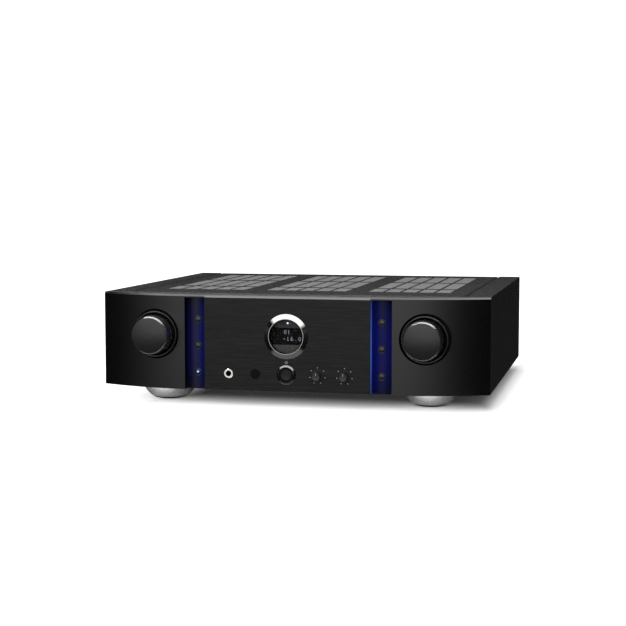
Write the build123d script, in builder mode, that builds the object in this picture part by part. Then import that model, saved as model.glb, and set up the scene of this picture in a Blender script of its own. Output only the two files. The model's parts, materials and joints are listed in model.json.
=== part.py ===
from build123d import *
import os

# Integrated stereo amplifier with a curved three-part front, a porthole display, two large
# turned knobs and a slotted lid over its heat sinks. Millimetres, +Z up, listener's side at -Y.
# The origin is the centre of the overall footprint, at the level the feet stand on.

os.makedirs("parts", exist_ok=True)

# ---------------------------------------------------------------- driving dimensions
width = 440.0  # across the side covers
body_height = 105.9  # chassis and front panel, without the feet
foot_height = 17.1
chassis_depth = 407.0  # centre plate's face to the rear panel
knob_reach = 18.5  # knob faces ahead of the centre plate
terminal_reach = 28.0  # speaker caps behind the rear panel

seat_gap = 0.3  # between pieces that pass each other without touching
slip = 0.05  # radial clearance of a turning or sliding fit
fit = 0.1  # clearance of a piece set into an opening
cut_over = 1.0  # how far a cut runs past the surface that it opens
edge_break = 0.4  # small chamfers of turned pieces

plate_width = 186.0  # centre plate
plate_stand = 2.0  # its face ahead of the front panel's lip
plate_drop = 1.0  # its top edge below the lip
plate_lift = 0.3  # its lower edge above the chassis bottom
plate_bevel = 1.8
plate_foot_bevel = 0.6

strip_width = 23.6  # lit strips between plate and wings
strip_depth = 11.5  # strip surface behind the plate's face
strip_sheet = 2.0
guide_thickness = 2.0  # acrylic light guides under the plate's edges

wing_drop = 26.0  # how far each wing falls back from lip to corner
wing_radius = 276.0
panel_edge = 3.5  # thickness of the front panel left at the corner
panel_lip = 3.0  # roof over the strips
panel_bevel = 1.9
panel_wall = 4.0  # wall left between the front features and the rear cavities
rib_width = 8.0  # between the middle cavity and the wing cavities
cavity_border = 6.0
wing_cavity_margin = 36.0  # from the side covers' outside
board_margin = 3.0  # front board inside the middle cavity
standoff_x = 88.0
standoff_heights = (30.0, 85.9)

knob_inset = 68.0  # knob centres inside the side covers' outside
knob_height = 61.1  # centres above the chassis bottom
knob_radius = 22.0
knob_face_radius = 19.7
knob_taper = 8.0  # depth over which the knob widens from its face to its full radius
knob_steps = 3  # fine turned steps at the start of the taper
knob_step = (0.35, 1.1)  # width and pitch of a step
knob_wall = 2.5
knob_crown = 5.0  # thickness of the knob's front
knob_hub_radius = 7.0
knob_pocket_radius = 28.0
knob_pocket_depth = 12.5  # behind the lip's front line
knob_back_gap = 1.2  # knob's rim above the pocket's floor
knob_hub_gap = 1.0  # hub ahead of the bushing
bezel_outer_radius = 25.5
bezel_inner_radius = 24.0

spindle_radius = 3.0
bushing_radius = 3.9
encoder_size = 20.0
encoder_depth = 8.0
encoder_bushing = 8.0

porthole_height = 61.6
ring_outer_radius = 24.7
ring_inner_radius = 19.5
ring_bore_radius = 18.6
ring_barrel_radius = 21.0
ring_wall = 1.0  # of its barrel, behind the glass's seat
ring_edge = 0.4
ring_crest = 2.5
glass_depth = 3.0  # glass behind the plate's face
glass_thickness = 1.5
screen_disc_thickness = 2.0
screen_neck = (28.0, 26.0)

control_height = 19.5  # row of small controls on the plate
power_ring_radius = 10.85
power_ring_crest = 2.1
power_ring_edge = 0.5
power_ring_land = (1.2, 2.0)  # crest's outer and inner edge inside the ring's rim
power_dish = 0.3  # hollow of the button's face and its rounded rim
power_barrel_radius = 8.0
power_barrel_length = 10.5
power_button_radius = 6.35
power_button_proud = 1.1
power_travel = 2.5
power_stem_radius = 3.0
power_stem_seat = 5.0  # stem's reach into its switch at rest
ir_x = -35.1
ir_radius = 5.5
ir_thickness = 3.0
ir_ledge = 1.0
phones_x = -65.4
phones_nut_radius = 5.25
phones_nut_proud = 0.9
phones_bore_radius = 3.2
phones_barrel_radius = 4.4
tone_xs = (35.0, 65.0)
tone_knob_radius = 4.8
tone_knob_length = 9.0
tone_seat_radius = 7.0
tone_seat_sink = 0.3
tone_seat_thickness = 1.0
tone_knob_taper = (0.9, 0.4, 0.5)  # face and shoulder inside the foot, shoulder's depth
small_body = 14.0  # square bodies of the jack, the pots and the power switch
small_body_depth = 8.0
jack_body_depth = 12.0
jack_blind = 1.0
switch_base = 2.0
board_notch = (2.0, 7.0)  # front board clear of the small bodies, across and up

button_x = 104.0
button_heights = (77.9, 48.5, 19.0)
button_radius = 3.15
button_proud = 1.2
button_length = 4.0
button_stem_radius = 1.7
button_travel = 0.8
button_ring_radius = 4.5
button_ring_depth = 0.5
switch_size = 6.0
switch_height = 2.0
board_thickness = 1.6
board_standoff = 7.4  # front board behind the panel's web
standoff_radius = 3.0

cover_wall = 4.0  # side covers
cover_flange = 28.0  # width of a side cover's top flange
cover_ledge = 8.0  # ledge under the lid's edge
ledge_thickness = 2.0
cover_fillet = 1.0
cover_rear_chamfer = 1.5
groove_chamfer = 1.2  # V groove between each cover's flange and the lid
groove_gap = 1.0
lid_sheet = 1.6
lid_drop = 0.4  # lid below the side covers' flanges

vent_side = 24.0  # outermost openings from the lid's edge
vent_column_pitch = 19.4
vent_columns = 5
vent_opening = 16.4
vent_front = 66.5  # first row behind the front corners
vent_rear = 37.0  # last row ahead of the rear panel
vent_bar = 10.0  # lid left between the rows
vent_rows = (1.0, 2.1, 2.1)  # shares of the rows in the length
grille_sink = 0.2  # raised pads below the lid's surface
grille_thickness = 1.2
grille_margin = 1.5
grille_slot = 3.4  # two slots along each pad
grille_slot_pitch = 7.6
grille_slot_end = 4.0

tray_sheet = 2.0
tray_flange = 12.0
tray_slot_margin = 4.0  # slots inside the fins above them
tray_slot_width = 4.0
tray_slot_pitch = 14.0
tray_slot_count = 10
rear_sheet = 1.5
bulkhead_sheet = 1.5

foot_side = 68.5  # foot centres inside the side covers' outside
foot_inset = 28.0  # front feet behind the front corners
rear_foot_inset = 45.0
foot_top_radius = 31.0
foot_base_radius = 17.8
foot_belly = (24.2, 5.4)  # point that the bowl's curve passes through
foot_rim = 2.0
pad_radius = 14.0
pad_proud = 1.0
pad_thickness = 2.5

transformer_radius = 72.0
transformer_height = 66.0
transformer_round = 6.0
transformer_back = 90.0  # its axis behind the bulkhead
clamp_radius = 34.0
clamp_thickness = 3.0
clamp_bolt_radius = 5.0
clamp_bolt_height = 6.0

sink_x = 104.0  # inner face of each heat sink
sink_base = 6.0
sink_side = 42.0  # fin tips inside the side covers' outside
sink_fin_thickness = 2.2
sink_fin_pitch = 10.0
sink_fins = 20
sink_height = 86.0
sink_start = 85.0  # behind the bulkhead
transistor = (5.0, 16.0, 20.0)
transistor_pitch = 44.0
transistor_count = 4
transistor_height = 40.0  # above the tray
amp_board = (190.0, 62.0)
amp_board_height = 10.0

supply_board = (170.0, 120.0)
supply_gap = 12.0  # behind the transformer
supply_standoff = 6.0
supply_post_inset = 6.0
capacitor_radius = 22.0
capacitor_height = 60.0
capacitor_pitch = 54.0
capacitor_chamfer = 1.5

jack_columns = 6
jack_rows = 2
jack_pitch = 21.0
jack_side = 96.0  # middle of the jacks inside the side covers' outside
jack_height = 62.0
jack_margin = 2.0
jack_radius = 4.15
jack_bore_radius = 1.6
jack_length = 10.0
jack_bore_depth = 9.0
block_proud = 1.0
block_depth = 9.0
input_board_margin = 5.0

post_side = 80.0  # first post inside the side covers' outside
post_steps = (0.0, 26.0, 64.0, 90.0)  # posts from the first one
post_height = 62.0
post_radius = 3.0
post_reach = 24.0
post_collar_radius = 8.5
post_collar_end = 7.0
post_tail = 10.0
terminal_margin = 16.0  # of the plate past the outer posts
terminal_height = 34.0
terminal_corner = 3.0
terminal_lap = 3.0  # plate over the rear panel round its opening
terminal_block_proud = 2.0
cap_radius = 8.5
cap_sides = 12
cap_start = 7.4
banana_radius = 2.05

inlet_side = 32.0
inlet_height = 45.0
inlet_flange = (32.0, 27.0)
inlet_flange_proud = 2.5
inlet_corner = 3.0
inlet_body = (28.0, 21.0)
inlet_cavity = (24.0, 16.0)
inlet_cavity_depth = 16.0
inlet_cavity_chamfer = 4.0
inlet_body_depth = 20.0
inlet_pin = (2.0, 4.0)
inlet_pin_pitch = 7.0
inlet_pin_length = 11.0
inlet_earth_rise = 3.0

remote_side = 14.0
remote_heights = (52.0, 72.0)
remote_nut_radius = 4.5
remote_nut_proud = 2.0
remote_barrel_radius = 3.1
remote_bore_radius = 1.8
remote_depth = 12.0
remote_blind = 1.0
ground_height = 88.0
ground_radius = 2.0
ground_head_radius = 5.5
ground_head = (3.0, 8.0)  # start behind the panel, length
ground_neck_radius = 3.0
ground_tail = 6.0

# ---------------------------------------------------------------- planes and levels
total_depth = knob_reach + chassis_depth + terminal_reach
half = width / 2
y_knob = -total_depth / 2
y_plate = y_knob + knob_reach
y_lip = y_plate + plate_stand
y_strip = y_plate + strip_depth
y_floor = y_strip + strip_sheet  # bottom of the recess behind the plate and strips
y_pocket = y_lip + knob_pocket_depth
y_web = y_floor + panel_wall  # back of the wall behind the middle recess
y_wall = y_pocket + panel_wall  # back of the wall behind each knob
y_corner = y_lip + wing_drop
y_back = y_corner + panel_edge  # front panel's rear face
y_rear = y_plate + chassis_depth  # rear panel's outer face
y_board = y_web + board_standoff
y_bulkhead = y_back + bulkhead_sheet

z_base = foot_height
z_top = z_base + body_height
z_roof = z_top - panel_lip
z_lid = z_top - lid_drop
z_lid_under = z_lid - lid_sheet
z_tray = z_base + tray_sheet

wing_inner = plate_width / 2 + strip_width
slab_half = plate_width / 2 - guide_thickness
lid_half = half - cover_flange - groove_gap
inner_half = half - cover_wall - fit
knob_x = half - knob_inset
foot_x = half - foot_side
jack_x = half - jack_side
post_xs = [post_side - half + step for step in post_steps]
inlet_x = inlet_side - half
remote_x = half - remote_side
knob_z = z_base + knob_height
porthole_z = z_base + porthole_height
control_z = z_base + control_height
button_zs = [z_base + height for height in button_heights]


def facing(y):
    """Plane across the amplifier at depth y: X to the right, Z up, normal to the listener."""
    return Plane.XZ.offset(-y)


def turned(x, z, outline):
    """Piece turned about the line along Y through (x, z), from its (radius, y) outline."""
    with BuildPart() as piece:
        with BuildSketch(Plane((x, 0, z), x_dir=(1, 0, 0), z_dir=(0, 0, 1))):
            with BuildLine():
                Polyline(*outline, close=True)
            make_face()
        revolve(axis=Axis((x, 0, z), (0, 1, 0)))
    return piece.part


def front_outline():
    """Plan of the front panel: flat lip in the middle, a convex arc falling back on each side."""
    with BuildSketch() as plan:
        with BuildLine():
            RadiusArc((wing_inner, y_lip), (half, y_corner), -wing_radius)
            Polyline((half, y_corner), (half, y_back), (-half, y_back), (-half, y_corner))
            RadiusArc((-half, y_corner), (-wing_inner, y_lip), -wing_radius)
            Line((-wing_inner, y_lip), (wing_inner, y_lip))
        make_face()
    return plan.sketch


# ---------------------------------------------------------------- front panel
middle_cavity_half = wing_inner - panel_wall / 2
wing_cavity = (middle_cavity_half + rib_width, half - wing_cavity_margin)
board_half = middle_cavity_half - board_margin
standoffs = [(x, z_base + height) for x in (-standoff_x, standoff_x) for height in standoff_heights]
button_sink = button_length - button_proud - strip_sheet + button_travel + seat_gap

with BuildPart() as front_panel:
    with BuildSketch(Plane.XY.offset(z_base)):
        add(front_outline())
    extrude(amount=body_height)
    rim = front_panel.edges().group_by(Axis.Z)[-1]
    chamfer([e for e in rim if e.center().Y < y_corner], panel_bevel)
    # recess that the centre plate and the lit strips sit in, open at the bottom
    with BuildSketch(facing(y_floor)):
        with Locations((0, (z_base - cut_over + z_roof) / 2)):
            Rectangle(2 * wing_inner, z_roof - z_base + cut_over)
    extrude(amount=y_floor - y_lip + cut_over, mode=Mode.SUBTRACT)
    # round pocket behind each large knob
    with BuildSketch(facing(y_pocket)):
        with Locations((-knob_x, knob_z), (knob_x, knob_z)):
            Circle(knob_pocket_radius)
    extrude(amount=knob_pocket_depth + cut_over, mode=Mode.SUBTRACT)
    # cavities from behind
    with BuildSketch(facing(y_web)):
        with Locations((0, (z_base + z_top) / 2)):
            Rectangle(2 * middle_cavity_half, body_height - 2 * cavity_border)
    extrude(amount=-(y_back - y_web), mode=Mode.SUBTRACT)
    with BuildSketch(facing(y_wall)):
        for side in (-1, 1):
            with Locations((side * sum(wing_cavity) / 2, (z_base + z_top) / 2)):
                Rectangle(wing_cavity[1] - wing_cavity[0], body_height - 2 * cavity_border)
    extrude(amount=-(y_back - y_wall), mode=Mode.SUBTRACT)
    with BuildSketch(facing(y_web)):
        with Locations(*standoffs):
            Circle(standoff_radius)
    extrude(amount=-board_standoff)
    # holes through the web for what the middle carries, and for the encoder bushings
    with BuildSketch(facing(y_floor)):
        with Locations((0, porthole_z)):
            Circle(ring_barrel_radius + fit)
        with Locations((0, control_z)):
            Circle(power_stem_radius + seat_gap)
        with Locations((phones_x, control_z)):
            Circle(phones_barrel_radius + fit)
        with Locations(*[(x, control_z) for x in tone_xs]):
            Circle(bushing_radius + fit)
        with Locations(*[(side * button_x, z) for side in (-1, 1) for z in button_zs]):
            Circle(button_stem_radius + seat_gap)
    extrude(amount=-panel_wall, mode=Mode.SUBTRACT)
    with BuildSketch(facing(y_floor)):
        with Locations(*[(side * button_x, z) for side in (-1, 1) for z in button_zs]):
            Circle(button_radius + seat_gap)
    extrude(amount=-button_sink, mode=Mode.SUBTRACT)
    with BuildSketch(facing(y_pocket)):
        with Locations((-knob_x, knob_z), (knob_x, knob_z)):
            Circle(bushing_radius + fit)
    extrude(amount=-panel_wall, mode=Mode.SUBTRACT)
front_panel.part.label = "front_panel"
export_step(front_panel.part, "parts/front_panel.step")

# ---------------------------------------------------------------- centre plate
with BuildPart() as centre_plate:
    with BuildSketch(facing(y_floor)):
        with Locations((0, (z_base + plate_lift + z_roof - fit) / 2)):
            Rectangle(2 * slab_half, z_roof - fit - z_base - plate_lift)
    extrude(amount=y_floor - y_lip)
    with BuildSketch(facing(y_lip)):
        with Locations((0, (z_base + plate_lift + z_top - plate_drop) / 2)):
            Rectangle(plate_width, body_height - plate_drop - plate_lift)
    extrude(amount=plate_stand)
    face_edges = centre_plate.faces().sort_by(Axis.Y)[0].edges().sort_by(Axis.Z)
    chamfer(face_edges[-1], plate_bevel)
    face_edges = centre_plate.faces().sort_by(Axis.Y)[0].edges().sort_by(Axis.Z)
    chamfer(face_edges[0], plate_foot_bevel)
    with BuildSketch(facing(y_floor)):
        with Locations((0, porthole_z)):
            Circle(ring_barrel_radius + fit)
        with Locations((0, control_z)):
            Circle(power_barrel_radius + fit)
        with Locations((phones_x, control_z)):
            Circle(phones_barrel_radius + fit)
        with Locations(*[(x, control_z) for x in tone_xs]):
            Circle(bushing_radius + fit)
        with Locations((ir_x, control_z)):
            Circle(ir_radius - ir_ledge)
    extrude(amount=y_floor - y_plate, mode=Mode.SUBTRACT)
    with BuildSketch(facing(y_plate)):
        with Locations((ir_x, control_z)):
            Circle(ir_radius + fit)
    extrude(amount=-ir_thickness, mode=Mode.SUBTRACT)
    with BuildSketch(facing(y_plate)):
        with Locations(*[(x, control_z) for x in tone_xs]):
            Circle(tone_seat_radius + fit)
    extrude(amount=-(tone_seat_sink + tone_seat_thickness), mode=Mode.SUBTRACT)
centre_plate.part.label = "centre_plate"
export_step(centre_plate.part, "parts/centre_plate.step")

# ---------------------------------------------------------------- lit strips and light guides
for side, hand in ((-1, "left"), (1, "right")):
    with BuildPart() as light_panel:
        with BuildSketch(facing(y_floor)):
            with Locations((side * (plate_width / 2 + strip_width / 2), (z_base + z_roof) / 2)):
                Rectangle(strip_width, z_roof - z_base)
            with Locations(*[(side * button_x, z) for z in button_zs]):
                Circle(button_radius + seat_gap, mode=Mode.SUBTRACT)
        extrude(amount=strip_sheet)
        with BuildSketch(facing(y_strip)):
            with Locations(*[(side * button_x, z) for z in button_zs]):
                Circle(button_ring_radius)
        extrude(amount=-button_ring_depth, mode=Mode.SUBTRACT)
    light_panel.part.label = f"light_panel_{hand}"
    export_step(light_panel.part, f"parts/light_panel_{hand}.step")

with BuildPart() as light_guides:
    with BuildSketch(facing(y_floor)):
        for side in (-1, 1):
            guide_x = side * (slab_half + guide_thickness / 2)
            with Locations((guide_x, (z_base + plate_lift + z_roof - fit) / 2)):
                Rectangle(guide_thickness, z_roof - fit - z_base - plate_lift)
    extrude(amount=y_floor - y_lip)
light_guides.part.label = "light_guides"
export_step(light_guides.part, "parts/light_guides.step")

# ---------------------------------------------------------------- porthole display
y_crest = y_plate - ring_crest
y_glass = y_plate + glass_depth
y_screen = y_glass + glass_thickness

display_ring = turned(0, porthole_z, [
    (ring_outer_radius, y_plate),
    (ring_outer_radius, y_plate - ring_edge),
    (ring_inner_radius, y_crest),
    (ring_bore_radius, y_crest + ring_edge),
    (ring_bore_radius, y_glass),
    (ring_barrel_radius - ring_wall, y_glass),
    (ring_barrel_radius - ring_wall, y_floor),
    (ring_barrel_radius, y_floor),
    (ring_barrel_radius, y_plate),
])
display_ring.label = "display_ring"
export_step(display_ring, "parts/display_ring.step")

with BuildPart() as display_glass:
    with BuildSketch(facing(y_screen)):
        with Locations((0, porthole_z)):
            Circle(ring_barrel_radius - ring_wall - slip)
    extrude(amount=glass_thickness)
display_glass.part.label = "display_glass"
export_step(display_glass.part, "parts/display_glass.step")

with BuildPart() as display_module:
    with BuildSketch(facing(y_screen)):
        with Locations((0, porthole_z)):
            Circle(ring_barrel_radius - ring_wall - slip)
    extrude(amount=-screen_disc_thickness)
    with BuildSketch(facing(y_screen + screen_disc_thickness)):
        with Locations((0, porthole_z)):
            Rectangle(*screen_neck)
    extrude(amount=-(y_board - y_screen - screen_disc_thickness))
display_module.part.label = "display_module"
export_step(display_module.part, "parts/display_module.step")

# ---------------------------------------------------------------- large knobs and their encoders
y_knob_back = y_pocket - knob_back_gap
y_crown = y_knob + knob_crown
y_bushing = y_wall - encoder_bushing
y_hub = y_bushing - knob_hub_gap
y_blind = y_knob + knob_crown / 2  # end of the spindle in the knob
knob_step_points = [
    (knob_face_radius + row * knob_step[0], y_knob + (row + turn) * knob_step[1])
    for row in range(knob_steps) for turn in (0, 1)
]

knob_outline = [
    (0, y_knob),
    *knob_step_points,
    (knob_face_radius + knob_steps * knob_step[0], y_knob + knob_steps * knob_step[1]),
    (knob_radius, y_knob + knob_taper),
    (knob_radius, y_knob_back),
    (knob_radius - knob_wall, y_knob_back),
    (knob_radius - knob_wall, y_crown),
    (knob_hub_radius, y_crown),
    (knob_hub_radius, y_hub),
    (spindle_radius, y_hub),
    (spindle_radius, y_blind),
    (0, y_blind),
]
for side, node in ((-1, "selector"), (1, "volume")):
    knob = turned(side * knob_x, knob_z, knob_outline)
    knob.label = f"{node}_knob"
    export_step(knob, f"parts/{node}_knob.step")

    with BuildPart() as spindle:
        with BuildSketch(facing(y_wall + encoder_depth / 2)):
            with Locations((side * knob_x, knob_z)):
                Circle(spindle_radius)
        extrude(amount=y_wall + encoder_depth / 2 - y_blind)
    spindle.part.label = f"{node}_spindle"
    export_step(spindle.part, f"parts/{node}_spindle.step")

    # plain collar in the pocket, its front edge level with the lip
    with BuildPart() as bezel:
        with BuildSketch(facing(y_pocket)):
            with Locations((side * knob_x, knob_z)):
                Circle(bezel_outer_radius)
                Circle(bezel_inner_radius, mode=Mode.SUBTRACT)
        extrude(amount=knob_pocket_depth)
        chamfer(bezel.edges().group_by(Axis.Y)[0], edge_break)
    bezel.part.label = f"{node}_bezel"
    export_step(bezel.part, f"parts/{node}_bezel.step")

with BuildPart() as encoders:
    with BuildSketch(facing(y_wall)):
        with Locations((-knob_x, knob_z), (knob_x, knob_z)):
            Rectangle(encoder_size, encoder_size)
    extrude(amount=-encoder_depth)
    with BuildSketch(facing(y_wall)):
        with Locations((-knob_x, knob_z), (knob_x, knob_z)):
            Circle(bushing_radius)
    extrude(amount=encoder_bushing)
    with BuildSketch(facing(y_bushing)):
        with Locations((-knob_x, knob_z), (knob_x, knob_z)):
            Circle(spindle_radius + slip)
    extrude(amount=-(encoder_bushing + encoder_depth * 0.75), mode=Mode.SUBTRACT)
encoders.part.label = "encoders"
export_step(encoders.part, "parts/encoders.step")

# ---------------------------------------------------------------- power button
y_power_face = y_plate - power_button_proud
y_power_shoulder = y_plate + power_barrel_length
y_switch_front = y_web
power_well = power_stem_seat + power_travel + seat_gap

power_bezel = turned(0, control_z, [
    (power_ring_radius, y_plate),
    (power_ring_radius, y_plate - power_ring_edge),
    (power_ring_radius - power_ring_land[0], y_plate - power_ring_crest),
    (power_ring_radius - power_ring_land[1], y_plate - power_ring_crest),
    (power_button_radius + 2 * slip, y_plate - power_ring_edge),
    (power_button_radius + 2 * slip, y_power_shoulder),
    (power_barrel_radius, y_power_shoulder),
    (power_barrel_radius, y_plate),
])
power_bezel.label = "power_bezel"
export_step(power_bezel, "parts/power_bezel.step")

power_button = turned(0, control_z, [
    (0, y_power_face + power_dish),
    (power_button_radius - 2 * power_dish, y_power_face),
    (power_button_radius - power_dish, y_power_face),
    (power_button_radius, y_power_face + power_dish),
    (power_button_radius, y_power_shoulder - power_travel),
    (power_stem_radius, y_power_shoulder - power_travel),
    (power_stem_radius, y_switch_front + power_stem_seat),
    (0, y_switch_front + power_stem_seat),
])
power_button.label = "power_button"
export_step(power_button, "parts/power_button.step")

# ---------------------------------------------------------------- infrared window and phones jack
with BuildPart() as ir_window:
    with BuildSketch(facing(y_plate + ir_thickness)):
        with Locations((ir_x, control_z)):
            Circle(ir_radius)
    extrude(amount=ir_thickness - fit)
ir_window.part.label = "ir_window"
export_step(ir_window.part, "parts/ir_window.step")

with BuildPart() as phones_jack:
    with BuildSketch(facing(y_plate)):
        with Locations((phones_x, control_z)):
            Circle(phones_nut_radius)
    extrude(amount=phones_nut_proud)
    with BuildSketch(facing(y_plate)):
        with Locations((phones_x, control_z)):
            Circle(phones_barrel_radius)
    extrude(amount=-(y_web - y_plate))
    with BuildSketch(facing(y_web)):
        with Locations((phones_x, control_z)):
            Rectangle(small_body, small_body)
    extrude(amount=-jack_body_depth)
    chamfer(phones_jack.edges().group_by(Axis.Y)[0], edge_break)
    with BuildSketch(facing(y_plate - phones_nut_proud)):
        with Locations((phones_x, control_z)):
            Circle(phones_bore_radius)
    phones_depth = y_web + jack_body_depth - jack_blind - y_plate + phones_nut_proud
    extrude(amount=-phones_depth, mode=Mode.SUBTRACT)
phones_jack.part.label = "phones_jack"
export_step(phones_jack.part, "parts/phones_jack.step")

# ---------------------------------------------------------------- tone controls
y_seat = y_plate + tone_seat_sink

with BuildPart() as tone_seats:
    with BuildSketch(facing(y_seat + tone_seat_thickness)):
        with Locations(*[(x, control_z) for x in tone_xs]):
            Circle(tone_seat_radius)
            Circle(spindle_radius + seat_gap, mode=Mode.SUBTRACT)
    extrude(amount=tone_seat_thickness)
tone_seats.part.label = "tone_seats"
export_step(tone_seats.part, "parts/tone_seats.step")

with BuildPart() as tone_pots:
    with BuildSketch(facing(y_web)):
        with Locations(*[(x, control_z) for x in tone_xs]):
            Rectangle(small_body, small_body)
    extrude(amount=-small_body_depth)
    with BuildSketch(facing(y_web)):
        with Locations(*[(x, control_z) for x in tone_xs]):
            Circle(bushing_radius)
    extrude(amount=y_web - y_seat - tone_seat_thickness)
    with BuildSketch(facing(y_seat)):
        with Locations(*[(x, control_z) for x in tone_xs]):
            Circle(spindle_radius + slip)
    extrude(amount=-(y_web - y_seat + small_body_depth * 0.75), mode=Mode.SUBTRACT)
tone_pots.part.label = "tone_pots"
export_step(tone_pots.part, "parts/tone_pots.step")

y_tone_back = y_seat - seat_gap
for x, node in zip(tone_xs, ("bass", "treble")):
    tone_knob = turned(x, control_z, [
        (0, y_tone_back - tone_knob_length),
        (tone_knob_radius - tone_knob_taper[0], y_tone_back - tone_knob_length),
        (tone_knob_radius - tone_knob_taper[1], y_tone_back - tone_knob_length + tone_knob_taper[2]),
        (tone_knob_radius, y_tone_back),
        (spindle_radius, y_tone_back),
        (spindle_radius, y_web + small_body_depth / 2),
        (0, y_web + small_body_depth / 2),
    ])
    tone_knob.label = f"{node}_knob"
    export_step(tone_knob, f"parts/{node}_knob.step")

# ---------------------------------------------------------------- strip buttons
y_button = y_strip - button_proud
y_button_back = y_button + button_length
y_switch = y_board - switch_height
y_stem_end = y_switch - button_travel - seat_gap

button_names = {
    -1: ("display_button", "tone_button", "speaker_button"),
    1: ("mute_button", "direct_button", "cartridge_button"),
}
for side, names in button_names.items():
    for z, node in zip(button_zs, names):
        button = turned(side * button_x, z, [
            (0, y_button),
            (button_radius - edge_break, y_button),
            (button_radius, y_button + edge_break),
            (button_radius, y_button_back),
            (button_stem_radius, y_button_back),
            (button_stem_radius, y_stem_end),
            (0, y_stem_end),
        ])
        button.label = node
        export_step(button, f"parts/{node}.step")

with BuildPart() as switches:
    with BuildSketch(facing(y_board)):
        with Locations(*[(side * button_x, z) for side in (-1, 1) for z in button_zs]):
            Rectangle(switch_size, switch_size)
    extrude(amount=switch_height)
    with BuildSketch(facing(y_switch_front)):
        with Locations((0, control_z)):
            Rectangle(small_body, small_body)
            Circle(power_stem_radius + seat_gap, mode=Mode.SUBTRACT)
    extrude(amount=-power_well)
    with BuildSketch(facing(y_switch_front + power_well)):
        with Locations((0, control_z)):
            Rectangle(small_body, small_body)
    extrude(amount=-switch_base)
switches.part.label = "switches"
export_step(switches.part, "parts/switches.step")

notch_half = max(abs(phones_x), tone_xs[1]) + small_body / 2 + board_notch[0]
with BuildPart() as front_board:
    with BuildSketch(facing(y_board)):
        with Locations((0, (z_base + z_top) / 2)):
            Rectangle(2 * board_half, body_height - 2 * (cavity_border + board_margin))
        with Locations((0, control_z)):
            Rectangle(2 * notch_half, small_body + 2 * board_notch[1], mode=Mode.SUBTRACT)
    extrude(amount=-board_thickness)
front_board.part.label = "front_board"
export_step(front_board.part, "parts/front_board.step")

# ---------------------------------------------------------------- side covers
flange_x = half - cover_flange
z_ledge = z_lid_under - ledge_thickness
for side, hand in ((-1, "left"), (1, "right")):
    with BuildPart() as side_cover:
        with BuildSketch(facing(y_back)):
            with BuildLine():
                Polyline(
                    (side * half, z_base),
                    (side * half, z_top),
                    (side * (flange_x + groove_chamfer), z_top),
                    (side * flange_x, z_top - groove_chamfer),
                    (side * flange_x, z_lid_under),
                    (side * (flange_x - cover_ledge), z_lid_under),
                    (side * (flange_x - cover_ledge), z_ledge),
                    (side * (half - cover_wall), z_ledge),
                    (side * (half - cover_wall), z_base),
                    close=True,
                )
            make_face()
        extrude(amount=-(y_rear - y_back))
        outer = side_cover.faces().sort_by(Axis.X)[0 if side < 0 else -1]
        chamfer(outer.edges().filter_by(Axis.Z).sort_by(Axis.Y)[-1], cover_rear_chamfer)
        outer = side_cover.faces().sort_by(Axis.X)[0 if side < 0 else -1]
        fillet(outer.edges().filter_by(Axis.Y).sort_by(Axis.Z)[-1], cover_fillet)
    side_cover.part.label = f"side_cover_{hand}"
    export_step(side_cover.part, f"parts/side_cover_{hand}.step")

# ---------------------------------------------------------------- lid and vent grilles
vent_group_half = (vent_columns - 1) / 2 * vent_column_pitch + vent_opening / 2
vent_pitch = lid_half - vent_side - vent_group_half
vent_xs = (-vent_pitch, 0.0, vent_pitch)
y_vents = y_corner + vent_front
vent_length = y_rear - vent_rear - y_vents
vent_share = (vent_length - (len(vent_rows) - 1) * vent_bar) / sum(vent_rows)

vents = []  # middle and length of every opening
start = y_vents
for share in vent_rows:
    length = share * vent_share
    vents += [
        (x + (column - (vent_columns - 1) / 2) * vent_column_pitch, start + length / 2, length)
        for x in vent_xs for column in range(vent_columns)
    ]
    start += length + vent_bar

with BuildPart() as top_cover:
    with BuildSketch(Plane.XY.offset(z_lid_under)):
        with Locations((0, (y_back + y_rear) / 2)):
            Rectangle(2 * lid_half, y_rear - y_back)
        for x, y, length in vents:
            with Locations((x, y)):
                Rectangle(vent_opening, length, mode=Mode.SUBTRACT)
    extrude(amount=lid_sheet)
    long_edges = top_cover.edges().filter_by(Axis.Y).group_by(Axis.Z)[-1].sort_by(Axis.X)
    chamfer([long_edges[0], long_edges[-1]], groove_chamfer)
top_cover.part.label = "top_cover"
export_step(top_cover.part, "parts/top_cover.step")

# sheets under the lid whose raised pads fill its openings, slotted along
with BuildPart() as vent_grilles:
    with BuildSketch(Plane.XY.offset(z_lid_under - grille_thickness)):
        with Locations(*[(x, y_vents + vent_length / 2) for x in vent_xs]):
            Rectangle(2 * (vent_group_half + grille_margin), vent_length + 2 * grille_margin)
    extrude(amount=grille_thickness)
    with BuildSketch(Plane.XY.offset(z_lid_under)):
        for x, y, length in vents:
            with Locations((x, y)):
                Rectangle(vent_opening - 2 * fit, length - 2 * fit)
    extrude(amount=lid_sheet - grille_sink)
    with BuildSketch(Plane.XY.offset(z_lid - grille_sink)):
        for x, y, length in vents:
            with Locations((x - grille_slot_pitch / 2, y), (x + grille_slot_pitch / 2, y)):
                Rectangle(grille_slot, length - 2 * grille_slot_end)
    extrude(amount=-(lid_sheet - grille_sink + grille_thickness), mode=Mode.SUBTRACT)
vent_grilles.part.label = "vent_grilles"
export_step(vent_grilles.part, "parts/vent_grilles.step")

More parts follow.
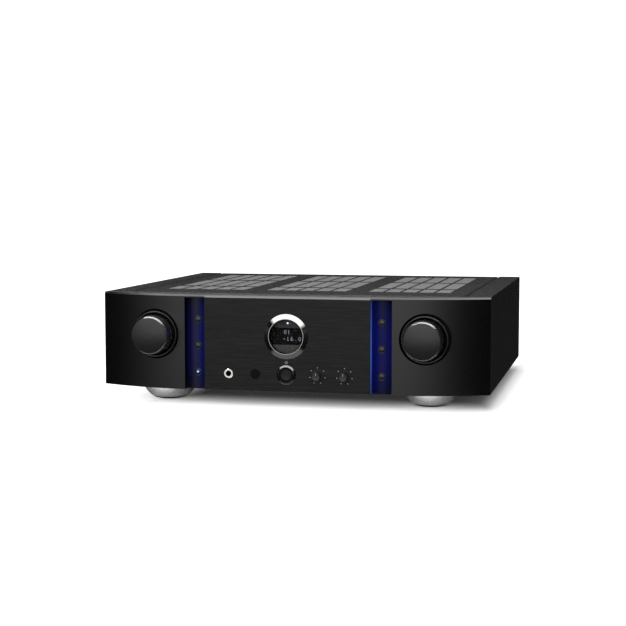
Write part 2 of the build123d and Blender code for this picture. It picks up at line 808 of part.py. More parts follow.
# ---------------------------------------------------------------- chassis tray, bulkhead, rear panel
y_tray_end = y_rear - rear_sheet
y_sink = y_bulkhead + sink_start
sink_length = (sink_fins - 1) * sink_fin_pitch + sink_fin_thickness
sink_fin = half - sink_side - sink_x - sink_base
sink_middle = sink_x + sink_base + sink_fin / 2
supply_y = y_bulkhead + transformer_back + transformer_radius + supply_gap + supply_board[1] / 2
post_reach_x, post_reach_y = [edge / 2 - supply_post_inset for edge in supply_board]
supply_posts = [
    (sx * post_reach_x, supply_y + sy * post_reach_y) for sx in (-1, 1) for sy in (-1, 1)
]

with BuildPart() as chassis_base:
    with BuildSketch(Plane.XY.offset(z_base)):
        with Locations((0, (y_back + y_tray_end) / 2)):
            Rectangle(2 * inner_half, y_tray_end - y_back)
        for side in (-1, 1):
            with Locations((side * sink_middle, y_sink + sink_length / 2)):
                with GridLocations(0, tray_slot_pitch, 1, tray_slot_count):
                    Rectangle(sink_fin - 2 * tray_slot_margin, tray_slot_width, mode=Mode.SUBTRACT)
    extrude(amount=tray_sheet)
    with BuildSketch(Plane.XY.offset(z_tray)):
        for side in (-1, 1):
            with Locations((side * (inner_half - tray_sheet / 2), (y_back + y_tray_end) / 2)):
                Rectangle(tray_sheet, y_tray_end - y_back)
    extrude(amount=tray_flange)
    with BuildSketch(Plane.XY.offset(z_tray)):
        with Locations(*supply_posts):
            Circle(standoff_radius)
    extrude(amount=supply_standoff)
chassis_base.part.label = "chassis_base"
export_step(chassis_base.part, "parts/chassis_base.step")

bulkhead_half = inner_half - tray_sheet - fit
with BuildPart() as front_bulkhead:
    with BuildSketch(facing(y_bulkhead)):
        with Locations((0, (z_tray + z_ledge) / 2)):
            Rectangle(2 * bulkhead_half, z_ledge - z_tray - fit)
    extrude(amount=bulkhead_sheet)
front_bulkhead.part.label = "front_bulkhead"
export_step(front_bulkhead.part, "parts/front_bulkhead.step")

block_width = (jack_columns - 1) * jack_pitch + 2 * (jack_radius + jack_margin)
block_height = (jack_rows - 1) * jack_pitch + 2 * (jack_radius + jack_margin)
jack_z = z_base + jack_height
post_z = z_base + post_height
post_middle = (post_xs[0] + post_xs[-1]) / 2
terminal_width = post_xs[-1] - post_xs[0] + 2 * terminal_margin
inlet_z = z_base + inlet_height
ground_z = z_base + ground_height
with BuildPart() as rear_panel:
    with BuildSketch(facing(y_rear)):
        with Locations((0, (z_base + z_ledge) / 2)):
            Rectangle(2 * inner_half, z_ledge - z_base)
        # tongue between the covers' ledges, up to the lid
        with Locations((0, (z_ledge + z_lid_under) / 2)):
            Rectangle(2 * (flange_x - cover_ledge - fit), z_lid_under - z_ledge)
        with Locations((jack_x, jack_z)):
            Rectangle(block_width + 2 * fit, block_height + 2 * fit, mode=Mode.SUBTRACT)
        with Locations((post_middle, post_z)):
            Rectangle(
                terminal_width - 2 * terminal_lap, terminal_height - 2 * terminal_lap, mode=Mode.SUBTRACT
            )
        with Locations((inlet_x, inlet_z)):
            Rectangle(inlet_body[0] + 2 * fit, inlet_body[1] + 2 * fit, mode=Mode.SUBTRACT)
        with Locations(*[(remote_x, z_base + height) for height in remote_heights]):
            Circle(remote_barrel_radius + fit, mode=Mode.SUBTRACT)
        with Locations((remote_x, ground_z)):
            Circle(ground_radius + slip, mode=Mode.SUBTRACT)
    extrude(amount=rear_sheet)
rear_panel.part.label = "rear_panel"
export_step(rear_panel.part, "parts/rear_panel.step")

# ---------------------------------------------------------------- feet
foot_ys = (y_corner + foot_inset, y_rear - rear_foot_inset)
foot_places = [(sx * foot_x, y) for sx in (-1, 1) for y in foot_ys]

with BuildPart() as feet:
    for x, y in foot_places:
        with BuildSketch(Plane((x, y, 0), x_dir=(1, 0, 0), z_dir=(0, -1, 0))):
            with BuildLine():
                ThreePointArc(
                    (foot_base_radius, pad_proud), foot_belly, (foot_top_radius, foot_height - foot_rim)
                )
                Polyline(
                    (foot_top_radius, foot_height - foot_rim),
                    (foot_top_radius, foot_height),
                    (0, foot_height),
                    (0, pad_thickness),
                    (pad_radius + fit, pad_thickness),
                    (pad_radius + fit, pad_proud),
                    (foot_base_radius, pad_proud),
                )
            make_face()
        revolve(axis=Axis((x, y, 0), (0, 0, 1)))
feet.part.label = "feet"
export_step(feet.part, "parts/feet.step")

with BuildPart() as foot_pads:
    with BuildSketch():
        with Locations(*foot_places):
            Circle(pad_radius)
    extrude(amount=pad_thickness)
foot_pads.part.label = "foot_pads"
export_step(foot_pads.part, "parts/foot_pads.step")

# ---------------------------------------------------------------- transformer
transformer_y = y_bulkhead + transformer_back
z_transformer = z_tray + transformer_height

with BuildPart() as transformer:
    with BuildSketch(Plane.XY.offset(z_tray)):
        with Locations((0, transformer_y)):
            Circle(transformer_radius)
    extrude(amount=transformer_height)
    fillet(transformer.edges().group_by(Axis.Z)[-1], transformer_round)
transformer.part.label = "transformer"
export_step(transformer.part, "parts/transformer.step")

with BuildPart() as transformer_clamp:
    with BuildSketch(Plane.XY.offset(z_transformer)):
        with Locations((0, transformer_y)):
            Circle(clamp_radius)
    extrude(amount=clamp_thickness)
    with BuildSketch(Plane.XY.offset(z_transformer + clamp_thickness)):
        with Locations((0, transformer_y)):
            RegularPolygon(clamp_bolt_radius, 6)
    extrude(amount=clamp_bolt_height)
transformer_clamp.part.label = "transformer_clamp"
export_step(transformer_clamp.part, "parts/transformer_clamp.step")

# ---------------------------------------------------------------- heat sinks and power stage
for side, hand in ((-1, "left"), (1, "right")):
    with BuildPart() as heat_sink:
        with BuildSketch(Plane.XY.offset(z_tray)):
            with Locations((side * (sink_x + sink_base / 2), y_sink + sink_length / 2)):
                Rectangle(sink_base, sink_length)
            with Locations((side * sink_middle, y_sink + sink_length / 2)):
                with GridLocations(0, sink_fin_pitch, 1, sink_fins):
                    Rectangle(sink_fin, sink_fin_thickness)
        extrude(amount=sink_height)
    heat_sink.part.label = f"heat_sink_{hand}"
    export_step(heat_sink.part, f"parts/heat_sink_{hand}.step")

z_transistor = z_tray + transistor_height
with BuildPart() as output_transistors:
    with BuildSketch(Plane.XY.offset(z_transistor)):
        for side in (-1, 1):
            with Locations((side * (sink_x - transistor[0] / 2), y_sink + sink_length / 2)):
                with GridLocations(0, transistor_pitch, 1, transistor_count):
                    Rectangle(transistor[0], transistor[1])
    extrude(amount=transistor[2])
output_transistors.part.label = "output_transistors"
export_step(output_transistors.part, "parts/output_transistors.step")

board_x = sink_x - transistor[0] - board_thickness / 2
with BuildPart() as amp_boards:
    with BuildSketch(Plane.XY.offset(z_tray + amp_board_height)):
        for side in (-1, 1):
            with Locations((side * board_x, y_sink + sink_length / 2)):
                Rectangle(board_thickness, amp_board[0])
    extrude(amount=amp_board[1])
amp_boards.part.label = "amp_boards"
export_step(amp_boards.part, "parts/amp_boards.step")

# ---------------------------------------------------------------- power supply
z_supply = z_tray + supply_standoff
with BuildPart() as supply:
    with BuildSketch(Plane.XY.offset(z_supply)):
        with Locations((0, supply_y)):
            Rectangle(*supply_board)
    extrude(amount=board_thickness)
supply.part.label = "supply_board"
export_step(supply.part, "parts/supply_board.step")

with BuildPart() as reservoir_capacitors:
    with BuildSketch(Plane.XY.offset(z_supply + board_thickness)):
        with Locations((0, supply_y)):
            with GridLocations(capacitor_pitch, capacitor_pitch, 2, 2):
                Circle(capacitor_radius)
    extrude(amount=capacitor_height)
    chamfer(reservoir_capacitors.edges().group_by(Axis.Z)[-1], capacitor_chamfer)
reservoir_capacitors.part.label = "reservoir_capacitors"
export_step(reservoir_capacitors.part, "parts/reservoir_capacitors.step")

# ---------------------------------------------------------------- line jacks
y_block = y_rear + block_proud
jack_places = [
    (jack_x + (column - (jack_columns - 1) / 2) * jack_pitch,
     jack_z + (row - (jack_rows - 1) / 2) * jack_pitch)
    for column in range(jack_columns) for row in range(jack_rows)
]
with BuildPart() as jack_block:
    with BuildSketch(facing(y_block)):
        with Locations((jack_x, jack_z)):
            Rectangle(block_width, block_height)
    extrude(amount=block_proud + block_depth)
jack_block.part.label = "jack_block"
export_step(jack_block.part, "parts/jack_block.step")

with BuildPart() as line_jacks:
    with BuildSketch(facing(y_block)):
        with Locations(*jack_places):
            Circle(jack_radius)
    extrude(amount=-jack_length)
    with BuildSketch(facing(y_block + jack_length)):
        with Locations(*jack_places):
            Circle(jack_bore_radius)
    extrude(amount=jack_bore_depth, mode=Mode.SUBTRACT)
line_jacks.part.label = "line_jacks"
export_step(line_jacks.part, "parts/line_jacks.step")

y_input = y_block - block_depth - block_proud
with BuildPart() as input_board:
    with BuildSketch(facing(y_input)):
        with Locations((jack_x, jack_z)):
            Rectangle(block_width + 2 * input_board_margin, block_height + 2 * input_board_margin)
    extrude(amount=board_thickness)
input_board.part.label = "input_board"
export_step(input_board.part, "parts/input_board.step")

# ---------------------------------------------------------------- speaker terminals
y_terminal = y_rear + terminal_block_proud
with BuildPart() as terminal_plate:
    with BuildSketch(facing(y_rear)):
        with Locations((post_middle, post_z)):
            RectangleRounded(terminal_width, terminal_height, terminal_corner)
        with Locations(*[(x, post_z) for x in post_xs]):
            Circle(post_radius + fit, mode=Mode.SUBTRACT)
    extrude(amount=-terminal_block_proud)
terminal_plate.part.label = "terminal_plate"
export_step(terminal_plate.part, "parts/terminal_plate.step")

with BuildPart() as speaker_posts:
    for x in post_xs:
        add(turned(x, post_z, [
            (0, y_rear - post_tail),
            (post_radius, y_rear - post_tail),
            (post_radius, y_terminal),
            (post_collar_radius, y_terminal),
            (post_collar_radius, y_rear + post_collar_end),
            (post_radius, y_rear + post_collar_end),
            (post_radius, y_rear + post_reach),
            (0, y_rear + post_reach),
        ]))
speaker_posts.part.label = "speaker_posts"
export_step(speaker_posts.part, "parts/speaker_posts.step")

cap_names = ("right_plus", "right_minus", "left_plus", "left_minus")
for x, name in zip(post_xs, cap_names):
    with BuildPart() as speaker_cap:
        with BuildSketch(facing(y_rear + cap_start)):
            with Locations((x, post_z)):
                RegularPolygon(cap_radius, cap_sides)
        extrude(amount=-(terminal_reach - cap_start))
        with BuildSketch(facing(y_rear + cap_start)):
            with Locations((x, post_z)):
                Circle(post_radius + slip)
        extrude(amount=-(post_reach + seat_gap - cap_start), mode=Mode.SUBTRACT)
        with BuildSketch(facing(y_rear + terminal_reach)):
            with Locations((x, post_z)):
                Circle(banana_radius)
        extrude(amount=terminal_reach - post_reach, mode=Mode.SUBTRACT)
    speaker_cap.part.label = f"speaker_cap_{name}"
    export_step(speaker_cap.part, f"parts/speaker_cap_{name}.step")

# ---------------------------------------------------------------- mains inlet, remote, ground
with BuildPart() as mains_inlet:
    with BuildSketch(facing(y_rear)):
        with Locations((inlet_x, inlet_z)):
            RectangleRounded(*inlet_flange, inlet_corner)
    extrude(amount=-inlet_flange_proud)
    with BuildSketch(facing(y_rear)):
        with Locations((inlet_x, inlet_z)):
            Rectangle(*inlet_body)
    extrude(amount=inlet_body_depth)
    y_mouth = y_rear + inlet_flange_proud
    with BuildSketch(facing(y_mouth)):
        with Locations((inlet_x, inlet_z)):
            cavity = Rectangle(*inlet_cavity)
            chamfer(cavity.vertices().group_by(Axis.Z)[-1], inlet_cavity_chamfer)
    extrude(amount=inlet_cavity_depth, mode=Mode.SUBTRACT)
    with BuildSketch(facing(y_mouth - inlet_cavity_depth)):
        with Locations((inlet_x - inlet_pin_pitch, inlet_z), (inlet_x + inlet_pin_pitch, inlet_z),
                       (inlet_x, inlet_z + inlet_earth_rise)):
            Rectangle(*inlet_pin)
    extrude(amount=-inlet_pin_length)
mains_inlet.part.label = "mains_inlet"
export_step(mains_inlet.part, "parts/mains_inlet.step")

with BuildPart() as remote_jacks:
    for height in remote_heights:
        add(turned(remote_x, z_base + height, [
            (0, y_rear - remote_depth),
            (remote_barrel_radius, y_rear - remote_depth),
            (remote_barrel_radius, y_rear),
            (remote_nut_radius, y_rear),
            (remote_nut_radius, y_rear + remote_nut_proud),
            (remote_bore_radius, y_rear + remote_nut_proud),
            (remote_bore_radius, y_rear - remote_depth + remote_blind),
            (0, y_rear - remote_depth + remote_blind),
        ]))
remote_jacks.part.label = "remote_jacks"
export_step(remote_jacks.part, "parts/remote_jacks.step")

ground_screw = turned(remote_x, ground_z, [
    (0, y_rear - ground_tail),
    (ground_radius, y_rear - ground_tail),
    (ground_radius, y_rear + seat_gap),
    (ground_neck_radius, y_rear + seat_gap),
    (ground_neck_radius, y_rear + ground_head[0]),
    (ground_head_radius, y_rear + ground_head[0]),
    (ground_head_radius, y_rear + sum(ground_head)),
    (0, y_rear + sum(ground_head)),
])
ground_screw.label = "ground_screw"
export_step(ground_screw, "parts/ground_screw.step")
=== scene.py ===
"""Looks for the integrated amplifier: finishes, turned parts, lit strips, display and studio."""

from __future__ import annotations

import json
import logging
import math
from collections.abc import Callable, Sequence
from dataclasses import dataclass, field
from enum import Enum

import bmesh
import bpy
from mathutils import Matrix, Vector

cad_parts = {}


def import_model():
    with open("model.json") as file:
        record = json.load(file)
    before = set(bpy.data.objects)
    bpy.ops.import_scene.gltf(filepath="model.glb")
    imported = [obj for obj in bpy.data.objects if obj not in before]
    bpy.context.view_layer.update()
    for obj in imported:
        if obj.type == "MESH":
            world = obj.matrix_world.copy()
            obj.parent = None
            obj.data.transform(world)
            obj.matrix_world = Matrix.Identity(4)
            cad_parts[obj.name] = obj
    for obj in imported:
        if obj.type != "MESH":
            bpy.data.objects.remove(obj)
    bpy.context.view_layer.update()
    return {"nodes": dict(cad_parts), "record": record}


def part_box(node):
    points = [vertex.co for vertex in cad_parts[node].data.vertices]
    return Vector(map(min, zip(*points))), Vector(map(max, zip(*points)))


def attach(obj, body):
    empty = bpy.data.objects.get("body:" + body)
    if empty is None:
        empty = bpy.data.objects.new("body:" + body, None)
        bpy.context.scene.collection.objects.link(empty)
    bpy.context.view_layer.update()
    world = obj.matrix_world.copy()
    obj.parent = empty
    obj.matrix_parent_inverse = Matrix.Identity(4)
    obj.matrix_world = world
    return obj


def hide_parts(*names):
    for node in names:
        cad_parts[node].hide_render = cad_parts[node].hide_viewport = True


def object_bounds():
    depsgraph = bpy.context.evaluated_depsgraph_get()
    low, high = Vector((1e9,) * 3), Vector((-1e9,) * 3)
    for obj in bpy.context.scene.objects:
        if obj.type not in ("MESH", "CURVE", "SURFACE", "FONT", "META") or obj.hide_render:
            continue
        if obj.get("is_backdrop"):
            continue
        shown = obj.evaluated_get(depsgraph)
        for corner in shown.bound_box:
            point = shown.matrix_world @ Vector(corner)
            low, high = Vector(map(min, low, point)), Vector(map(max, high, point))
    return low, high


log = logging.getLogger("amplifier")
Color = tuple[float, float, float]
Outline = Sequence[tuple[float, float]]
Span = tuple[float, float]
Socket = bpy.types.NodeSocket
Material = bpy.types.Material
Piece = bpy.types.Object
Draft = bmesh.types.BMesh
MM = 0.001
ON_THE_LINE = 1e-7
WHITE = (1.0, 1.0, 1.0, 1.0)


class Hand(Enum):
    """Which side of the amplifier a paired piece is on."""

    LEFT = -1
    RIGHT = 1

    @property
    def word(self) -> str:
        """The side's name as the nodes spell it."""
        return self.name.lower()


class Along(Enum):
    """The line that a turned piece is made about."""

    DEPTH = "Y"
    HEIGHT = "Z"


# --- node trees
class NodeSheet:
    """A node tree, with short calls to add and join its nodes."""

    def __init__(self, tree: bpy.types.NodeTree) -> None:
        """Takes up a tree."""
        self.tree = tree

    def node(self, kind: str, **settings: object) -> bpy.types.Node:
        """Adds one node.

        Args:
            kind: the node's type without its ShaderNode prefix.
            settings: properties of the node, or inputs written as in_Name.

        Returns:
            The new node.
        """
        made = self.tree.nodes.new(f"ShaderNode{kind}")
        for key, value in settings.items():
            if key.startswith("in_"):
                made.inputs[key[3:].replace("_", " ")].default_value = value
            else:
                setattr(made, key, value)
        return made

    def join(self, out: Socket, into: Socket) -> None:
        """Links an output socket to an input socket."""
        self.tree.links.new(out, into)

    def feed(self, value: Socket | float, into: Socket) -> None:
        """Gives an input a number or another node's output.

        Args:
            value: the number or the output.
            into: the input.
        """
        if isinstance(value, (int, float)):
            into.default_value = value
        else:
            self.join(value, into)

    def math(self, operation: str, first: Socket, second: Socket | float = 0.0) -> Socket:
        """One arithmetic step.

        Args:
            operation: the node's operation.
            first: the first operand.
            second: the second operand, a socket or a number.

        Returns:
            The result's socket.
        """
        made = self.node("Math", operation=operation)
        self.join(first, made.inputs[0])
        self.feed(second, made.inputs[1])
        return made.outputs[0]

    def times(self, first: Socket, second: Socket | float) -> Socket:
        """The product of a socket and a socket or number."""
        return self.math("MULTIPLY", first, second)

    def ease(self, value: Socket, start: float, end: float, low: Socket | float,
             high: Socket | float, kind: str = "SMOOTHSTEP") -> Socket:
        """Maps a value's run onto another and holds it outside.

        Args:
            value: the value.
            start: where its run starts.
            end: where its run ends.
            low: the result at the start and before it.
            high: the result at the end and after it.
            kind: how the result changes in between.

        Returns:
            The result's socket.
        """
        made = self.node("MapRange", interpolation_type=kind, in_From_Min=start, in_From_Max=end)
        self.join(value, made.inputs["Value"])
        self.feed(low, made.inputs["To Min"])
        self.feed(high, made.inputs["To Max"])
        return made.outputs["Result"]

    def line(self, value: Socket, start: float, end: float, low: float, high: float) -> Socket:
        """The same as ease, in a straight line."""
        return self.ease(value, start, end, low, high, "LINEAR")

    def parts(self, vector: Socket) -> bpy.types.NodeOutputs:
        """Splits a vector.

        Args:
            vector: the vector's socket.

        Returns:
            Its X, Y and Z.
        """
        made = self.node("SeparateXYZ")
        self.join(vector, made.inputs[0])
        return made.outputs


class MaterialSheet(NodeSheet):
    """A material's node tree round its surface shader."""

    def __init__(self, name: str) -> None:
        """Starts a material whose tree holds only a surface shader and the output.

        Args:
            name: the material's name.
        """
        self.material = bpy.data.materials.new(name)
        self.material.use_nodes = True
        super().__init__(self.material.node_tree)
        self.shader = self.tree.nodes["Principled BSDF"]

    def set(self, **sockets: object) -> None:
        """Sets the shader's own sockets, their names written with _ for each space."""
        for key, value in sockets.items():
            self.shader.inputs[key.replace("_", " ")].default_value = value

    def drive(self, value: Socket, name: str) -> None:
        """Joins a value to one of the shader's own sockets."""
        self.join(value, self.shader.inputs[name])

    def place(self) -> Socket:
        """The point on the object, in metres of the shared frame."""
        return self.node("TexCoord").outputs["Object"]

    def axes(self) -> bpy.types.NodeOutputs:
        """The point's X, Y and Z."""
        return self.parts(self.place())

    def scaled(self, scale: tuple[float, float, float]) -> Socket:
        """Stretches the coordinates.

        Args:
            scale: a factor for each axis.

        Returns:
            The point on the object, each axis multiplied by its factor.
        """
        mapping = self.node("Mapping", in_Scale=scale)
        self.join(self.place(), mapping.inputs["Vector"])
        return mapping.outputs["Vector"]

    def radius(self, centre: Vector) -> Socket:
        """Measures how far the point is from a line that runs front to back.

        Args:
            centre: a point on the line.

        Returns:
            The distance's socket.
        """
        at = self.place()
        for operation, operand in (("SUBTRACT", centre), ("MULTIPLY", (1.0, 0.0, 1.0))):
            made = self.node("VectorMath", operation=operation)
            self.join(at, made.inputs[0])
            made.inputs[1].default_value = operand
            at = made.outputs[0]
        length = self.node("VectorMath", operation="LENGTH")
        self.join(at, length.inputs[0])
        return length.outputs["Value"]

    def noise(self, vector: Socket, scale: float, detail: float = 3.0) -> Socket:
        """Adds a noise pattern.

        Args:
            vector: its coordinates.
            scale: how many grains fit in a metre.
            detail: its finer layers.

        Returns:
            The noise value's socket.
        """
        made = self.node("TexNoise", in_Scale=scale, in_Detail=detail)
        self.join(vector, made.inputs["Vector"])
        return made.outputs["Fac"]

    def rings(self, radius: Socket, pitch: float) -> Socket:
        """Adds turning marks.

        Args:
            radius: the distance from the turning line.
            pitch: how far apart the marks are.

        Returns:
            A value that changes only with that distance.
        """
        made = self.node("TexNoise", noise_dimensions="1D", in_Scale=1.0 / pitch, in_Detail=2.0)
        self.join(radius, made.inputs["W"])
        return made.outputs["Fac"]

    def tint(self, value: Socket, dark: Color, light: Color, start: float = 0.3,
             end: float = 0.7) -> None:
        """Colours the surface between two shades by a value.

        Args:
            value: the value.
            dark: the shade at the start of its run.
            light: the shade at its end.
            start: where the run starts.
            end: where it ends.
        """
        ramp = self.node("ValToRGB")
        stops = ramp.color_ramp.elements
        for stop, position, color in zip(stops, (start, end), (dark, light)):
            stop.position = position
            stop.color = (*color, 1.0)
        self.join(value, ramp.inputs["Fac"])
        self.drive(ramp.outputs["Color"], "Base Color")

    def mottle(self, value: Socket, color: Color, spread: float) -> None:
        """Colours the surface a little darker and lighter than a colour."""
        self.tint(value, shade(color, 1 - spread), shade(color, 1 + spread))

    def roughen(self, value: Socket, low: float, high: float) -> None:
        """Roughness between low and high over a noise value's middle range."""
        self.drive(self.line(value, 0.3, 0.7, low, high), "Roughness")

    def bump(self, value: Socket, depth: float) -> None:
        """Raises the surface by a value.

        Args:
            value: the value.
            depth: how high a value of one stands, in metres.
        """
        made = self.node("Bump", in_Strength=1.0, in_Distance=depth)
        self.join(value, made.inputs["Height"])
        self.drive(made.outputs["Normal"], "Normal")

    def grooves(self, axis: Along) -> None:
        """Stretches highlights across turned or brushed lines.

        Args:
            axis: the line that they run round or square to.
        """
        tangent = self.node("Tangent", direction_type="RADIAL", axis=axis.value)
        self.drive(tangent.outputs["Tangent"], "Tangent")
        self.set(Anisotropic_Rotation=0.25)


def shade(color: Color, factor: float) -> Color:
    """The colour multiplied by a factor."""
    return (color[0] * factor, color[1] * factor, color[2] * factor)


# --- finishes
@dataclass(frozen=True)
class Coating:
    """What every finish shares: a name, a colour and a material to build."""

    name: str
    color: Color

    def build(self) -> Material:
        """Builds the finish.

        Returns:
            Its material.
        """
        sheet = MaterialSheet(self.name)
        self.paint(sheet)
        return sheet.material

    def paint(self, sheet: MaterialSheet) -> None:
        """Lays the finish on its material's sheet.

        Args:
            sheet: the material's sheet.
        """
        raise NotImplementedError


@dataclass(frozen=True)
class Finish(Coating):
    """A plain finish with a fine grain in colour, roughness and relief."""

    roughness: float = 0.4
    metallic: float = 0.0
    specular: float = 0.5
    grain: float = 900.0
    grain_depth: float = 0.00002
    variation: float = 0.15
    stretch: tuple[float, float, float] = (1.0, 1.0, 1.0)
    coat: float = 0.0

    def paint(self, sheet: MaterialSheet) -> None:
        """Lays the finish on its material's sheet.

        Args:
            sheet: the material's sheet.
        """
        value = sheet.noise(sheet.scaled(self.stretch), self.grain)
        sheet.mottle(value, self.color, self.variation)
        sheet.roughen(value, self.roughness * 0.92, min(1.0, self.roughness * 1.08))
        sheet.bump(value, self.grain_depth)
        sheet.set(Metallic=self.metallic, Specular_IOR_Level=self.specular, Coat_Weight=self.coat)


@dataclass(frozen=True)
class BrushedFinish(Coating):
    """Black anodised plate brushed straight across: long fine streaks, stretched highlights."""

    roughness: float
    specular: float
    streak: float = 2600.0
    streak_depth: float = 0.000004
    anisotropy: float = 0.55
    variation: float = 0.8
    fine_share: float = 0.4

    def paint(self, sheet: MaterialSheet) -> None:
        """Lays the finish on its material's sheet.

        Args:
            sheet: the material's sheet.
        """
        fine = sheet.noise(sheet.scaled((0.02, 1.0, 1.0)), self.streak, 4.0)
        broad = sheet.noise(sheet.scaled((0.04, 1.0, 1.0)), self.streak / 2.5, 3.0)
        value = sheet.math("ADD", sheet.times(fine, self.fine_share),
                           sheet.times(broad, 1.0 - self.fine_share))
        sheet.tint(value, shade(self.color, 1 - self.variation),
                   shade(self.color, 1 + self.variation), 0.38, 0.62)
        sheet.roughen(value, self.roughness * 0.75, self.roughness * 1.25)
        sheet.bump(value, self.streak_depth)
        sheet.grooves(Along.HEIGHT)
        sheet.set(Specular_IOR_Level=self.specular, Anisotropic=self.anisotropy)


@dataclass(frozen=True)
class SpunFinish(Coating):
    """Turned metal: fine rings round a front-to-back line, which stretch its highlights."""

    roughness: float
    metallic: float
    specular: float
    centre: Vector
    anisotropy: float = 0.6
    ring_pitch: float = 0.00035
    ring_depth: float = 0.000002
    swell: float = 0.0

    def paint(self, sheet: MaterialSheet) -> None:
        """Lays the finish on its material's sheet.

        Args:
            sheet: the material's sheet.
        """
        away = sheet.radius(self.centre)
        value = sheet.rings(away, self.ring_pitch)
        sheet.mottle(value, self.color, 0.1)
        sheet.roughen(value, self.roughness * 0.92, self.roughness * 1.08)
        fall = sheet.times(sheet.times(away, away), -self.swell)
        sheet.bump(sheet.math("ADD", sheet.times(value, self.ring_depth), fall), 1.0)
        sheet.grooves(Along.DEPTH)
        sheet.set(Metallic=self.metallic, Specular_IOR_Level=self.specular,
                  Anisotropic=self.anisotropy)


@dataclass(frozen=True)
class StripFinish(Coating):
    """Satin dark acrylic with a blue glow fed in as emission.

    On a strip the glow is painted light, standing in for the guide's light that falls on it; on a
    guide it is the guide's own glow. The glow fades across the strip and, more on the far side,
    towards its ends.
    """

    glow: Color
    lit_x: float
    far_x: float
    low_z: float
    high_z: float
    near: float
    far: float
    fall: float
    near_ends: float
    far_ends: float
    specular: float = 0.2
    hollow: float = 0.0042

    def paint(self, sheet: MaterialSheet) -> None:
        """Lays the finish on its material's sheet.

        Args:
            sheet: the material's sheet.
        """
        at = sheet.axes()
        across = sheet.line(at["X"], self.lit_x, self.far_x, 0.0, 1.0)
        bent = sheet.math("POWER", across, self.fall)
        strength = sheet.line(bent, 0.0, 1.0, self.near, self.far)
        along = sheet.line(at["Z"], self.low_z, self.high_z, -1.0, 1.0)
        loss = sheet.line(across, 0.0, 1.0, self.near_ends, self.far_ends)
        lost = sheet.times(sheet.times(along, along), loss)
        kept = sheet.line(lost, 0.0, 1.0, 1.0, 0.0)
        grain = sheet.noise(sheet.place(), 900.0)
        total = sheet.times(sheet.times(strength, kept), sheet.line(grain, 0.3, 0.7, 0.94, 1.06))
        # Painted light: on a strip this emission stands in for the guide's light falling on it.
        sheet.drive(total, "Emission Strength")
        sheet.mottle(grain, self.color, 0.15)
        sheet.roughen(grain, 0.28, 0.32)
        bow = sheet.math("SUBTRACT", sheet.times(across, 2.0), 1.0)
        sheet.bump(sheet.times(bow, bow), self.hollow)
        sheet.set(Emission_Color=(*self.glow, 1.0), Specular_IOR_Level=self.specular)


@dataclass(frozen=True)
class LampFinish(Coating):
    """A small lit surface, such as a lens or a display dot, evenly bright."""

    strength: float
    base: Color = (0.05, 0.05, 0.06)

    def paint(self, sheet: MaterialSheet) -> None:
        """Lays the finish on its material's sheet.

        Args:
            sheet: the material's sheet.
        """
        value = sheet.noise(sheet.place(), 2500.0)
        sheet.mottle(value, self.base, 0.1)
        sheet.drive(sheet.line(value, 0.3, 0.7, self.strength * 0.95, self.strength * 1.05),
                    "Emission Strength")
        sheet.set(Emission_Color=(*self.color, 1.0), Roughness=0.3)
        sheet.material.cycles.emission_sampling = "NONE"


@dataclass(frozen=True)
class SmokedGlass(Coating):
    """Thin smoked window that darkens what lies behind it and carries a faint shine."""

    opacity: float = 0.15

    def paint(self, sheet: MaterialSheet) -> None:
        """Lays the finish on its material's sheet.

        Args:
            sheet: the material's sheet.
        """
        value = sheet.noise(sheet.place(), 900.0)
        sheet.mottle(value, self.color, 0.1)
        sheet.roughen(value, 0.04, 0.044)
        sheet.set(Alpha=self.opacity, Specular_IOR_Level=0.06)
        sheet.material.surface_render_method = "BLENDED"


@dataclass(frozen=True)
class PerforatedGrey(Coating):
    """Light grey grille sheet with rows of small round holes painted as dark dots, painted shade
    standing in for the dark inside of each hole.
    """

    pitch: float = 2.4 * MM
    hole: float = 0.7 * MM

    def paint(self, sheet: MaterialSheet) -> None:
        """Lays the finish on its material's sheet.

        Args:
            sheet: the material's sheet.
        """
        at = sheet.axes()
        squares = []
        for axis in ("X", "Y"):
            turns = sheet.math("FRACT", sheet.times(at[axis], 1 / self.pitch))
            cell = sheet.math("SUBTRACT", turns, 0.5)
            squares.append(sheet.times(cell, cell))
        away = sheet.math("SQRT", sheet.math("ADD", *squares))
        edge = self.hole / self.pitch
        # Painted shade: each hole is a dark dot, a near-black copy of the grey, in place of the
        # dark inside of a hole.
        open_part = sheet.ease(away, edge * 0.85, edge * 1.15, 1.0, 0.0)
        sheet.tint(open_part, self.color, shade(self.color, 0.12), 0.0, 1.0)
        sheet.roughen(sheet.noise(sheet.place(), 1200.0), 0.45, 0.55)
        sheet.set(Specular_IOR_Level=0.3)


# --- mesh making
def from_bmesh(name: str, bm: Draft, smooth: bool = True) -> Piece:
    """Turns a finished bmesh into an object of the scene.

    Args:
        name: the piece's name.
        bm: the mesh in metres of the shared frame; it is freed.
        smooth: shade its gentle edges smooth.

    Returns:
        The new object, its faces pointing outward.
    """
    bmesh.ops.recalc_face_normals(bm, faces=bm.faces)
    mesh = bpy.data.meshes.new(name)
    bm.to_mesh(mesh)
    bm.free()
    made = bpy.data.objects.new(name, mesh)
    bpy.context.scene.collection.objects.link(made)
    if smooth:
        for polygon in mesh.polygons:
            polygon.use_smooth = True
        mesh.set_sharp_from_angle(angle=math.radians(32))
        even = made.modifiers.new("even_shading", "WEIGHTED_NORMAL")
        even.keep_sharp = True
    return made


